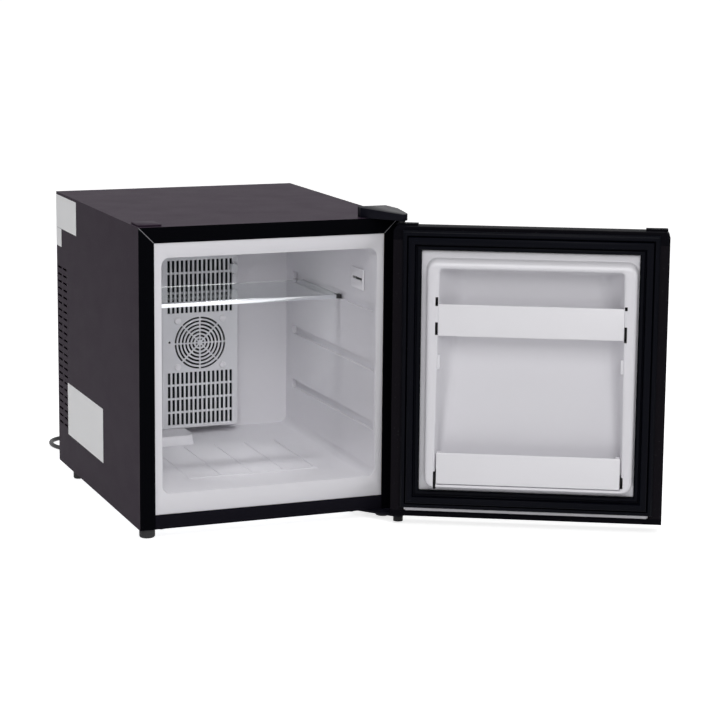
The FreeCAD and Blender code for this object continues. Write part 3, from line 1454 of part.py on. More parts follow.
def cord_gland():
    """Tapered strain relief on the rear cover, with its flange."""
    flange = rod("flange", "gland_x", "back", "gland_z", "gland_flange", "gland_flange_wall", "back")
    stub = rod("stub", "gland_x", "shell_back - skin", "gland_z", "gland_root", "panel_wall + skin * 2", "back")
    cone = doc.addObject("Part::Cone", "taper")
    cone.Placement.Rotation = TURN["back"]
    bind(cone, "Radius1", "gland_root")
    bind(cone, "Radius2", "gland_tip")
    bind(cone, "Height", "gland_length - gland_flange_wall")
    at(cone, "gland_x", "back + gland_flange_wall", "gland_z")
    keep(joined("gland", flange, stub, cone), "cord_gland")


def plug(start, way):
    """Moulded plug at the coil's outer end, lying beside it, with two flat pins."""
    length, width, height = num("plug_length"), num("plug_width"), num("plug_height")
    neck, radius = num("plug_neck"), num("cord_radius")
    turn = FreeCAD.Rotation(V(1, 0, 0), way)

    def ring(distance, wide, high):
        corners = [V(distance, y * wide / 2, z * high / 2) for y, z in ((-1, -1), (1, -1), (1, 1), (-1, 1))]
        return Part.makePolygon(corners + corners[:1])

    slim = 2 * radius * 1.3
    body = Part.makeLoft([ring(0, slim, slim), ring(neck, width * 0.8, height * 0.8), ring(length, width, height)],
                         True, True)
    feature = doc.addObject("Part::Feature", "plug_body")
    feature.Shape = body
    feature.Placement = FreeCAD.Placement(start, turn)
    keep(feature, "plug_body")
    pin_length, pin_width, pin_wall = num("blade_pin_length"), num("blade_pin_width"), num("blade_pin_wall")
    spread = num("blade_pin_spread")
    pins = [Part.makeBox(pin_length, pin_wall, pin_width, V(length, side * spread / 2 - pin_wall / 2, -pin_width / 2))
            for side in (-1, 1)]
    feature = doc.addObject("Part::Feature", "plug_pins")
    feature.Shape = Part.makeCompound(pins)
    feature.Placement = FreeCAD.Placement(start, turn)
    keep(feature, "plug_pins")


def build():
    """Make every piece in order, then check and write them."""
    outer_shell()
    bottom_bar()
    base_plate()
    feet()
    insulation_foam()
    inner_liner()
    glass_shelf()
    duct_cover()
    duct_fittings()
    cooling()
    rear_panels()
    power_board()
    thermostat()
    ceiling_lamp()
    upper_hinge()
    lower_hinge()
    hinge_washer()
    small_covers()
    stickers()
    door_panel()
    door_caps()
    door_foam()
    door_liner()
    door_gasket()
    door_rack("upper_rack", "rack_high")
    door_rack("lower_rack", "rack_low")
    cord_gland()
    free_length = free_lead()
    coil_length, coil_end, way = coiled_lead()
    plug(coil_end, way)
    print("lead length", round(free_length + coil_length))
    doc.recompute()
    faults = [thing.Label for thing in doc.Objects if {"Invalid", "Error"} & set(thing.State)]
    faults += [piece.Label for piece in pieces if piece.Shape.isNull() or not piece.Shape.isValid()]
    if faults:
        raise RuntimeError("not built: " + ", ".join(faults))
    os.makedirs("parts", exist_ok=True)
    for piece in pieces:
        piece.Shape.exportStep("parts/%s.step" % piece.Label)
    print(len(pieces), "pieces")


build()
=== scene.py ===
"""Looks of the portable mini fridge: an open dark cabinet with a white lining and a racked door.

Every length is in metres, in the frame of the construction: +Z up, the cabinet's opening faces -Y.
"""

import logging
import math
from dataclasses import dataclass, field
from enum import Enum

import bmesh
import bpy
import numpy as np
from mathutils import Matrix, Vector


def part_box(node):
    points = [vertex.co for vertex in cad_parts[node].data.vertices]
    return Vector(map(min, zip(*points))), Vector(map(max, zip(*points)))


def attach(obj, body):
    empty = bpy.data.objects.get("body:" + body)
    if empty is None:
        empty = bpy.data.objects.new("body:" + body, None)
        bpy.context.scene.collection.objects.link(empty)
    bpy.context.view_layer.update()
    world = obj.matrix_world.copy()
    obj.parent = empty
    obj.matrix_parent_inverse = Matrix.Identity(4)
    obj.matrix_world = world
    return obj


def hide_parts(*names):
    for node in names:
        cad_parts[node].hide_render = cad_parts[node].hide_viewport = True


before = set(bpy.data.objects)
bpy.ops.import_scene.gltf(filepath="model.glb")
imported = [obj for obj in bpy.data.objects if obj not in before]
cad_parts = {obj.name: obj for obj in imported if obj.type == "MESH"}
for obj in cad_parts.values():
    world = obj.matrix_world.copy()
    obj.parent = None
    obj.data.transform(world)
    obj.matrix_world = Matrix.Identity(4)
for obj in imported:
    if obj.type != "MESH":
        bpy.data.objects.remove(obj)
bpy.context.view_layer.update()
MM = 0.001
WELD = 1e-6
COPY_WELD = 2e-6
FLAT = math.radians(0.4)
DRIFT_SCALE = 9.0
FLOAT = "NodeSocketFloat"
COLOUR = "NodeSocketColor"
LOG = logging.getLogger("mini_fridge")
Array = np.ndarray
Triple = tuple[float, float, float]
Piece = bpy.types.Object
Tree = bpy.types.ShaderNodeTree
Socket = bpy.types.NodeSocket


class Body(Enum):
    """Moving bodies of the fridge that pieces ride on."""

    CABINET = "cabinet"
    DOOR = "door"
    SHELF = "shelf"
    UPPER_RACK = "upper_rack"
    LOWER_RACK = "lower_rack"


# Grids and outlines, worked out as whole arrays.


def placed(name: str, data: bpy.types.ID) -> Piece:
    """A new object at the origin of the scene.

    Args:
        name: Its name.
        data: Its mesh, curve, lamp or camera.

    Returns:
        The object.
    """
    made = bpy.data.objects.new(name, data)
    bpy.context.scene.collection.objects.link(made)
    return made


def grid_faces(rows: int, around: int, wrap: bool) -> Array:
    """Corner numbers of the quads of a grid of rows by around points.

    Args:
        rows: Number of rows.
        around: Points in each row.
        wrap: Whether each row is a closed loop.

    Returns:
        An array of quads, one row of four point numbers each.
    """
    row = np.arange(rows - 1)[:, None] * around
    step = np.arange(around if wrap else around - 1)[None, :]
    after = (step + 1) % around
    quads = np.stack([row + step, row + after, row + around + after, row + around + step], axis=-1)
    return quads.reshape(-1, 4)


def mesh_piece(name: str, points: Array, faces: list[Array], smooth: bool = True) -> Piece:
    """A mesh object from points and face arrays.

    Args:
        name: The piece's name.
        points: An array of points, one row each.
        faces: Arrays of point numbers, each with its own number of corners.
        smooth: Whether the faces are shaded smooth.

    Returns:
        The new object, at the origin.
    """
    corners = np.concatenate([part.ravel() for part in faces]).astype(np.int32)
    totals = np.concatenate([np.full(len(part), part.shape[1]) for part in faces]).astype(np.int32)
    starts = np.concatenate([[0], np.cumsum(totals)[:-1]]).astype(np.int32)
    mesh = bpy.data.meshes.new(name)
    mesh.vertices.add(len(points))
    mesh.vertices.foreach_set("co", np.asarray(points, dtype=np.float32).ravel())
    mesh.loops.add(len(corners))
    mesh.loops.foreach_set("vertex_index", corners)
    mesh.polygons.add(len(totals))
    mesh.polygons.foreach_set("loop_start", starts)
    mesh.polygons.foreach_set("loop_total", totals)
    mesh.polygons.foreach_set("use_smooth", np.full(len(totals), smooth))
    mesh.update(calc_edges=True)
    mesh.validate()
    return placed(name, mesh)


def tidy_normals(piece: Piece) -> None:
    """Merge a mesh's double points and turn its faces outwards.

    Args:
        piece: The mesh object.
    """
    work = bmesh.new()
    work.from_mesh(piece.data)
    bmesh.ops.remove_doubles(work, verts=work.verts, dist=WELD)
    bmesh.ops.recalc_face_normals(work, faces=work.faces)
    work.to_mesh(piece.data)
    work.free()


def cut(piece: Piece, cutter: Piece) -> None:
    """Take a cutter's room out of a piece with its modifiers applied, and remove the cutter.

    Args:
        piece: The piece to cut.
        cutter: A closed mesh object.
    """
    tool = piece.modifiers.new("room", "BOOLEAN")
    tool.operation = "DIFFERENCE"
    tool.solver = "EXACT"
    tool.object = cutter
    graph = bpy.context.evaluated_depsgraph_get()
    mesh = bpy.data.meshes.new_from_object(piece.evaluated_get(graph))
    piece.modifiers.clear()
    piece.data = mesh
    bpy.data.objects.remove(cutter)


def blocks(name: str, rows: list[Array], smooth: bool = False) -> Piece:
    """One piece of several closed blocks, each a stack of outlines with its first and last filled.

    Args:
        name: The piece's name.
        rows: For each block, an array of outlines by points by three.
        smooth: Whether the faces are shaded smooth.

    Returns:
        The new object.
    """
    faces, first = [], 0
    for stack in rows:
        count, around = stack.shape[:2]
        faces.append(grid_faces(count, around, True) + first)
        faces.append(np.arange(around)[None, ::-1] + first)
        faces.append(np.arange(around)[None, :] + first + (count - 1) * around)
        first += count * around
    piece = mesh_piece(name, np.concatenate([stack.reshape(-1, 3) for stack in rows]), faces, smooth)
    tidy_normals(piece)
    return piece


def stacked(outlines: Array, depths: Array, x: float, z: float) -> Array:
    """Outlines of x and z moved to a place and stacked along Y.

    Args:
        outlines: An array of outlines by points by two.
        depths: Each outline's level along Y.
        x: How far they move along X.
        z: How far they move along Z.

    Returns:
        An array of outlines by points by three.
    """
    depth = np.broadcast_to(np.asarray(depths, dtype=float)[:, None], outlines.shape[:2])
    return np.stack([outlines[..., 0] + x, depth, outlines[..., 1] + z], axis=-1)


def rounded_outline(half_x: Array, half_z: Array, radius: Array, arc: int = 8) -> Array:
    """Closed rounded rectangles about the origin, one for each entry of the given arrays.

    A corner's points are its centre plus the radius times (cos t, sin t), with t over a quarter turn.

    Args:
        half_x: Half widths.
        half_z: Half heights.
        radius: Corner radii.
        arc: Steps in each corner.

    Returns:
        An array of outlines by points by two, anticlockwise from the right side's upper corner.
    """
    half_x, half_z, radius = (np.atleast_1d(np.asarray(a, dtype=float)) for a in (half_x, half_z, radius))
    turn = np.linspace(0.0, math.pi / 2, arc + 1)
    corner = np.arange(4)[:, None]
    angle = corner * math.pi / 2 + turn[None, :]
    sign_x = np.array([1, -1, -1, 1])[:, None]
    sign_z = np.array([1, 1, -1, -1])[:, None]
    x = sign_x * (half_x - radius)[:, None, None] + radius[:, None, None] * np.cos(angle)
    z = sign_z * (half_z - radius)[:, None, None] + radius[:, None, None] * np.sin(angle)
    return np.stack([x, z], axis=-1).reshape(len(half_x), -1, 2)


def swung(points: Array, angle: float, pivot: tuple[float, float]) -> Array:
    """Points turned about an upright axis.

    Args:
        points: Points as rows of x, y, z.
        angle: Turn in radians, anticlockwise from above.
        pivot: The axis's x and y.

    Returns:
        The turned points, in the same shape.
    """
    x = points[..., 0] - pivot[0]
    y = points[..., 1] - pivot[1]
    c, s = math.cos(angle), math.sin(angle)
    return np.stack([pivot[0] + c * x - s * y, pivot[1] + s * x + c * y, points[..., 2]], axis=-1)


# Shader groups and finishes.


def feed(tree: Tree, value: object, target: Socket) -> None:
    """Link a socket to an input, or set the input to a number or a colour.

    Args:
        tree: The tree of both.
        value: A socket, a number or a colour.
        target: The input.
    """
    if isinstance(value, Socket):
        tree.links.new(value, target)
    else:
        target.default_value = value


def maths(tree: Tree, kind: str, *values: object) -> Socket:
    """A maths node.

    Args:
        tree: The tree that it goes into.
        kind: The operation, such as MULTIPLY.
        *values: Its inputs, each a socket or a number.

    Returns:
        The node's output socket.
    """
    made = tree.nodes.new("ShaderNodeMath")
    made.operation = kind
    for value, target in zip(values, made.inputs):
        feed(tree, value, target)
    return made.outputs[0]


@dataclass
class Effect:
    """A shader node group being made, with named inputs and outputs."""

    name: str
    inputs: dict[str, tuple[str, object]]
    outputs: dict[str, str]
    tree: Tree = field(init=False)
    source: bpy.types.Node = field(init=False)
    result: bpy.types.Node = field(init=False)
    place: bpy.types.Node = field(init=False)

    def __post_init__(self) -> None:
        """Make the group's tree and its sockets."""
        self.tree = bpy.data.node_groups.new(self.name, "ShaderNodeTree")
        for label, (kind, value) in self.inputs.items():
            socket = self.tree.interface.new_socket(name=label, in_out="INPUT", socket_type=kind)
            socket.default_value = value
        for label, kind in self.outputs.items():
            self.tree.interface.new_socket(name=label, in_out="OUTPUT", socket_type=kind)
        self.source = self.tree.nodes.new("NodeGroupInput")
        self.result = self.tree.nodes.new("NodeGroupOutput")
        self.place = self.tree.nodes.new("ShaderNodeTexCoord")

    def node(self, kind: str, **values: object) -> bpy.types.Node:
        """Add a node.

        Args:
            kind: The node's type.
            **values: Its properties.

        Returns:
            The new node.
        """
        made = self.tree.nodes.new(kind)
        for key, value in values.items():
            setattr(made, key, value)
        return made

    def join(self, source: Socket, target: Socket) -> None:
        """Link an output socket to an input socket."""
        self.tree.links.new(source, target)

    def math(self, kind: str, first: object, second: object) -> Socket:
        """A maths node of two sockets or numbers in the group."""
        return maths(self.tree, kind, first, second)

    def noise(self, scale: object, detail: float, stretch: Triple = (1, 1, 1)) -> Socket:
        """Noise on the object's own coordinates.

        Args:
            scale: Waves per metre, a number or a socket.
            detail: Finer layers that it adds.
            stretch: Factors on the coordinates along the axes.

        Returns:
            The noise's socket, from nought to one.
        """
        mapping = self.node("ShaderNodeMapping")
        mapping.inputs["Scale"].default_value = stretch
        self.join(self.place.outputs["Object"], mapping.inputs["Vector"])
        made = self.node("ShaderNodeTexNoise")
        made.inputs["Detail"].default_value = detail
        self.join(mapping.outputs["Vector"], made.inputs["Vector"])
        feed(self.tree, scale, made.inputs["Scale"])
        return made.outputs["Fac"]

    def out(self, label: str, socket: Socket) -> None:
        """Send a socket out of the group under a label."""
        self.join(socket, self.result.inputs[label])


def drift_group() -> Tree:
    """Slow change of tone over a surface: colour times one plus amount times (noise less a half).

    Returns:
        The group tone_drift.
    """
    effect = Effect("tone_drift", {"Colour": (COLOUR, (0.5, 0.5, 0.5, 1)),
                                   "Amount": (FLOAT, 0.1), "Scale": (FLOAT, DRIFT_SCALE)},
                    {"Colour": COLOUR})
    wave = effect.noise(effect.source.outputs["Scale"], 3.0)
    swing = effect.math("MULTIPLY", effect.math("SUBTRACT", wave, 0.5), effect.source.outputs["Amount"])
    level = effect.math("ADD", swing, 1.0)
    mix = effect.node("ShaderNodeVectorMath", operation="SCALE")
    effect.join(effect.source.outputs["Colour"], mix.inputs[0])
    effect.join(level, mix.inputs["Scale"])
    effect.out("Colour", mix.outputs[0])
    return effect.tree


def grain_group() -> Tree:
    """Fine relief of a moulded or sprayed surface: two noises, one three times finer than the other.

    Returns:
        The group fine_grain.
    """
    effect = Effect("fine_grain", {"Scale": (FLOAT, 900.0), "Depth": (FLOAT, 1.0)},
                    {"Height": FLOAT})
    coarse = effect.noise(effect.source.outputs["Scale"], 2.0)
    fine = effect.noise(effect.math("MULTIPLY", effect.source.outputs["Scale"], 3.0), 1.0)
    blend = effect.math("ADD", effect.math("MULTIPLY", coarse, 0.7), effect.math("MULTIPLY", fine, 0.3))
    effect.out("Height", effect.math("MULTIPLY", blend, effect.source.outputs["Depth"]))
    return effect.tree


def handling_group() -> Tree:
    """Roughness that handling leaves: the base value plus smears a few centimetres wide and fine specks.

    Returns:
        The group handling.
    """
    effect = Effect("handling", {"Roughness": (FLOAT, 0.4), "Smear": (FLOAT, 0.1)},
                    {"Roughness": FLOAT})
    smear = effect.noise(22.0, 4.0, (1.0, 1.0, 1.6))
    speck = effect.noise(260.0, 2.0)
    both = effect.math("ADD", effect.math("MULTIPLY", smear, 0.75), effect.math("MULTIPLY", speck, 0.25))
    swing = effect.math("MULTIPLY", effect.math("SUBTRACT", both, 0.5), effect.source.outputs["Smear"])
    effect.out("Roughness", effect.math("ADD", swing, effect.source.outputs["Roughness"]))
    return effect.tree


def dust_group() -> Tree:
    """Dust specks: a colour mixed towards pale grey where a fine noise is highest.

    Returns:
        The group dust_specks.
    """
    effect = Effect("dust_specks", {"Colour": (COLOUR, (0.5, 0.5, 0.5, 1)),
                                    "Amount": (FLOAT, 0.1)},
                    {"Colour": COLOUR})
    speck = effect.noise(420.0, 1.0)
    mask = effect.node("ShaderNodeMapRange", clamp=True)
    mask.inputs["From Min"].default_value = 0.70
    mask.inputs["From Max"].default_value = 0.80
    effect.join(speck, mask.inputs["Value"])
    share = effect.math("MULTIPLY", mask.outputs["Result"], effect.source.outputs["Amount"])
    mix = effect.node("ShaderNodeMix", data_type="RGBA")
    effect.join(share, mix.inputs["Factor"])
    effect.join(effect.source.outputs["Colour"], mix.inputs[6])
    mix.inputs[7].default_value = (0.55, 0.55, 0.56, 1.0)
    effect.out("Colour", mix.outputs[2])
    return effect.tree


def brushed_group() -> Tree:
    """Drawn lines of rolled sheet: noise stretched a hundredfold along X, as height and as roughness.

    Returns:
        The group rolled_lines.
    """
    effect = Effect("rolled_lines", {"Roughness": (FLOAT, 0.35)},
                    {"Height": FLOAT, "Roughness": FLOAT})
    lines = effect.noise(60.0, 3.0, (0.12, 12.0, 12.0))
    effect.out("Height", lines)
    swing = effect.math("MULTIPLY", effect.math("SUBTRACT", lines, 0.5), 0.3)
    effect.out("Roughness", effect.math("ADD", swing, effect.source.outputs["Roughness"]))
    return effect.tree


class Groups:
    """The shader groups that materials share, each built once."""

    def __init__(self) -> None:
        """Build every group."""
        self.drift = drift_group()
        self.grain = grain_group()
        self.handling = handling_group()
        self.dust = dust_group()
        self.rolled = brushed_group()


@dataclass(frozen=True)
class Finish:
    """A surface's colour, gloss and fine relief, and the nodes of the construction that have it."""

    name: str
    colour: Triple
    roughness: float = 0.4
    grain_scale: float = 900.0
    grain_depth: float = 0.05
    metallic: float = 0.0
    specular: float = 0.5
    drift: float = 0.06
    dust: float = 0.0
    smear: float = 0.12
    rolled: bool = False
    coat: float = 0.0
    transmission: float = 0.0
    ior: float = 1.45
    lets_light: float = 0.0
    glow: float = 0.0
    bump_distance: float = 0.0002
    nodes: str = ""

    def place(self, tree: Tree, group: Tree,
              values: dict[str, object]) -> bpy.types.Node:
        """Put a shader group in a material with its own values.

        Args:
            tree: The material's tree.
            group: The group to place.
            values: Input names with a number, a colour or a socket each.

        Returns:
            The group's node.
        """
        made = tree.nodes.new("ShaderNodeGroup")
        made.node_tree = group
        for label, value in values.items():
            feed(tree, value, made.inputs[label])
        return made

    def build(self, groups: Groups) -> bpy.types.Material:
        """Make the material.

        Args:
            groups: The shared shader groups.

        Returns:
            The material, made of the groups and one shader.
        """
        material = bpy.data.materials.new(self.name)
        material.use_nodes = True
        tree = material.node_tree
        shader = tree.nodes["Principled BSDF"]
        colour = self.place(tree, groups.drift,
                            {"Colour": (*self.colour, 1.0), "Amount": self.drift, "Scale": DRIFT_SCALE})
        if self.dust:
            colour = self.place(tree, groups.dust, {"Colour": colour.outputs["Colour"], "Amount": self.dust})
        tree.links.new(colour.outputs["Colour"], shader.inputs["Base Color"])
        if self.rolled:
            lines = self.place(tree, groups.rolled, {"Roughness": self.roughness})
            height, rough = lines.outputs["Height"], lines.outputs["Roughness"]
        else:
            grain = self.place(tree, groups.grain, {"Scale": self.grain_scale, "Depth": 1.0})
            wear = self.place(tree, groups.handling, {"Roughness": self.roughness, "Smear": self.smear})
            height, rough = grain.outputs["Height"], wear.outputs["Roughness"]
        tree.links.new(rough, shader.inputs["Roughness"])
        bump = tree.nodes.new("ShaderNodeBump")
        bump.inputs["Strength"].default_value = self.grain_depth
        bump.inputs["Distance"].default_value = self.bump_distance
        tree.links.new(height, bump.inputs["Height"])
        tree.links.new(bump.outputs["Normal"], shader.inputs["Normal"])
        for label, value in {"Metallic": self.metallic, "Coat Weight": self.coat, "IOR": self.ior,
                             "Specular IOR Level": self.specular,
                             "Transmission Weight": self.transmission}.items():
            shader.inputs[label].default_value = value
        if self.glow:
            shader.inputs["Emission Color"].default_value = (1.0, 0.98, 0.95, 1.0)
            shader.inputs["Emission Strength"].default_value = self.glow
        if self.lets_light:
            self.pass_shadow_rays(tree, shader)
        return material

    def pass_shadow_rays(self, tree: Tree, shader: bpy.types.Node) -> None:
        """Let a share of the lamps' light straight through: alpha is one less that share for shadow rays.

        Args:
            tree: The material's tree.
            shader: Its shader.
        """
        path = tree.nodes.new("ShaderNodeLightPath")
        alpha = maths(tree, "MULTIPLY_ADD", path.outputs["Is Shadow Ray"], -self.lets_light, 1.0)
        tree.links.new(alpha, shader.inputs["Alpha"])


class Wardrobe:
    """Every finish of the fridge, made when first asked for."""

    FINISHES = (
        Finish("charcoal_paint", (0.032, 0.021, 0.034), 0.44, 1400.0, 0.18, specular=0.012, drift=0.12,
               dust=0.05, nodes="outer_shell hinge_hole_cover"),
        # The front frame's near-black is painted shade: the cabinet's charcoal paint, darkened where the
        # front faces away from the light.
        Finish("front_painted_shade", (0.0011, 0.0012, 0.002), 0.42, 1400.0, 0.15, specular=0.015),
        Finish("bar_paint", (0.006, 0.0055, 0.009), 0.42, 1400.0, 0.15, specular=0.03, nodes="bottom_bar"),
        Finish("door_paint", (0.006, 0.005, 0.007), 0.4, 1400.0, 0.18, specular=0.03, dust=0.05,
               nodes="door_panel"),
        Finish("dark_cap", (0.004, 0.0038, 0.0055), 0.46, 1800.0, 0.25, specular=0.01, dust=0.05,
               nodes="door_bottom_cap door_top_cap"),
        Finish("hinge_black", (0.006, 0.006, 0.01), 0.3, 1200.0, 0.1, specular=0.05,
               nodes="top_hinge_bracket bottom_hinge_bracket top_hinge_cover"),
        Finish("soft_seal", (0.0016, 0.0019, 0.0042), 0.32, 700.0, 0.08, specular=0.05, drift=0.15,
               smear=0.18, nodes="door_gasket"),
        Finish("white_lining", (0.74, 0.73, 0.765), 0.34, 240.0, 0.1, drift=0.03, smear=0.1,
               nodes="inner_liner door_liner thermostat_plate thermostat_housing"),
        Finish("white_moulding", (0.8, 0.79, 0.82), 0.36, 1200.0, 0.12, drift=0.02,
               nodes="upper_rack lower_rack lamp_housing"),
        Finish("duct_white", (0.7, 0.7, 0.73), 0.5, 1500.0, 0.15, drift=0.04,
               nodes="duct_cover duct_screw_caps"),
        # Near-black pads behind the duct's slots: painted shade for the dark inside of the duct.
        Finish("duct_shade_black", (0.016, 0.018, 0.022), 0.95, 700.0, 0.9, specular=0.1, bump_distance=0.0006),
        Finish("dark_fins", (0.045, 0.047, 0.052), 0.45, 900.0, 0.12, metallic=0.3, specular=0.2,
               rolled=True, nodes="cold_sink"),
        Finish("blackened_steel", (0.01, 0.01, 0.011), 0.34, 900.0, 0.1, metallic=0.2, specular=0.15,
               rolled=True, nodes="bar_screws top_hinge_pin bottom_hinge_pin hinge_washer"),
        Finish("shelf_glass", (0.93, 0.97, 0.96), 0.03, 900.0, 0.005, drift=0.01, smear=0.02,
               transmission=1.0, ior=1.5, lets_light=0.88, nodes="glass_shelf"),
        # Light grey of the mitre seams on the front frame: a painted highlight along each joint.
        Finish("seam_painted_highlight", (0.16, 0.16, 0.17), metallic=0.3),
        Finish("bright_trim", (0.82, 0.84, 0.87), 0.22, 900.0, 0.03, metallic=0.85, drift=0.03,
               nodes="shelf_trim"),
        Finish("moulded_black", (0.014, 0.014, 0.016), 0.42, 1500.0, 0.2,
               nodes="shelf_end_caps cold_fan_frame cold_fan_rotor hot_fan_frame hot_fan_rotor"),
        Finish("dial_black", (0.03, 0.03, 0.034), 0.4, 1500.0, 0.15, nodes="thermostat_dial"),
        Finish("clear_plastic", (0.88, 0.89, 0.92), 0.2, 900.0, 0.02, smear=0.04, transmission=0.25,
               ior=1.46, nodes="sensor_clip"),
        Finish("probe_steel", (0.5, 0.5, 0.52), 0.3, metallic=1.0, nodes="temperature_sensor"),
        Finish("plain_zinc", (0.56, 0.57, 0.59), 0.38, 900.0, 0.15, metallic=1.0, rolled=True,
               nodes="base_plate rear_inner_panel rear_cover"),
        Finish("sink_aluminium", (0.74, 0.75, 0.77), 0.36, 900.0, 0.12, metallic=1.0, rolled=True,
               nodes="hot_sink spacer_block"),
        Finish("screw_zinc", (0.52, 0.52, 0.55), 0.32, metallic=1.0,
               nodes="rear_cover_screws top_hinge_screws bottom_hinge_screws"),
        Finish("foot_rubber", (0.014, 0.014, 0.015), 0.7, 1100.0, 0.4, dust=0.2,
               nodes="front_feet rear_feet"),
        Finish("rigid_foam", (0.78, 0.7, 0.48), 0.9, 500.0, 0.8, bump_distance=0.0006,
               nodes="insulation_foam door_foam"),
        Finish("module_ceramic", (0.86, 0.86, 0.84), 0.55, 1600.0, nodes="cooling_module"),
        Finish("board_green", (0.02, 0.14, 0.06), 0.35, drift=0.2, coat=0.4, nodes="power_board"),
        Finish("turned_brass", (0.66, 0.47, 0.2), 0.3, metallic=1.0, nodes="board_standoffs"),
        Finish("wound_core", (0.2, 0.13, 0.05), 0.45, 600.0, 0.4, drift=0.3, nodes="transformer"),
        Finish("can_sleeve", (0.03, 0.04, 0.09), 0.32, drift=0.1, nodes="capacitors"),
        Finish("lamp_lens", (0.95, 0.95, 0.93), 0.5, 900.0, 0.1, glow=3.0, nodes="lamp_lens"),
        Finish("blank_film", (0.92, 0.92, 0.93), 0.45, 900.0, 0.06, drift=0.03, dust=0.04,
               nodes="upper_sticker middle_sticker lower_sticker"),
        Finish("lead_sheath", (0.012, 0.012, 0.013), 0.48, 1300.0, 0.15,
               nodes="cord_gland power_cord cord_coil"),
        Finish("plug_moulding", (0.014, 0.014, 0.015), 0.5, 1300.0, 0.2, nodes="plug_body"),
        Finish("plated_pins", (0.8, 0.76, 0.68), 0.2, 900.0, 0.04, metallic=1.0, nodes="plug_pins"),
    )

    def __init__(self) -> None:
        """Keep the finishes by name and build the shared groups."""
        self.groups = Groups()
        self.finishes = {finish.name: finish for finish in self.FINISHES}
        self.made: dict[str, bpy.types.Material] = {}

    def material(self, name: str) -> bpy.types.Material:
        """The material of a finish, built the first time."""
        if name not in self.made:
            self.made[name] = self.finishes[name].build(self.groups)
        return self.made[name]

    def dress(self, piece: Piece, name: str) -> None:
        """Give a piece one finish on every face."""
        piece.data.materials.clear()
        piece.data.materials.append(self.material(name))

    def settle(self, piece: Piece, body: Body, slot: str, finish: str, *nodes: str) -> None:
        """Attach a piece to the body that it rides on, hide the nodes that it stands for, and give it its
        finish.

        Args:
            piece: The new piece.
            body: The body that it rides on.
            slot: Not used.
            finish: Its finish's name.
            *nodes: The construction's nodes that it replaces.
        """
        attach(piece, body.value)
        if nodes:
            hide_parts(*nodes)
        self.dress(piece, finish)

    def dress_nodes(self) -> None:
        """Give every node of the construction its finish."""
        for finish in self.FINISHES:
            for node in finish.nodes.split():
                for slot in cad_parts[node].material_slots:
                    slot.material = self.material(finish.name)
                LOG.info("node %s is %s", node, finish.name)


# Pieces of the fridge.


@dataclass(frozen=True)
class Softened:
    """A node of the construction that is shown as a copy with rounded edges, its width in millimetres."""

    node: str
    name: str
    width: float
    body: Body
    finish: str
    slot: str
    smooth: bool = True
    steps: int = 2
    crease: float = 0.6

    def build(self, wardrobe: Wardrobe) -> Piece:
        """Merge the copy's double points, join its flat triangles and round its edges.

        Args:
            wardrobe: The finishes.

        Returns:
            The new piece, which stands for the node.
        """
        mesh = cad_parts[self.node].data.copy()
        mesh.name = self.name
        work = bmesh.new()
        work.from_mesh(mesh)
        bmesh.ops.remove_doubles(work, verts=work.verts, dist=COPY_WELD)
        bmesh.ops.dissolve_limit(work, angle_limit=FLAT, verts=work.verts, edges=work.edges)
        for face in work.faces:
            face.smooth = self.smooth
        work.to_mesh(mesh)
        work.free()
        piece = placed(self.name, mesh)
        bevel = piece.modifiers.new("edges", "BEVEL")
        bevel.width = self.width * MM
        bevel.segments = self.steps
        bevel.limit_method = "ANGLE"
        bevel.angle_limit = self.crease
        bevel.use_clamp_overlap = True
        bevel.harden_normals = self.smooth
        wardrobe.settle(piece, self.body, self.slot, self.finish, self.node)
        LOG.info("%s is a rounded copy of %s", self.name, self.node)
        return piece


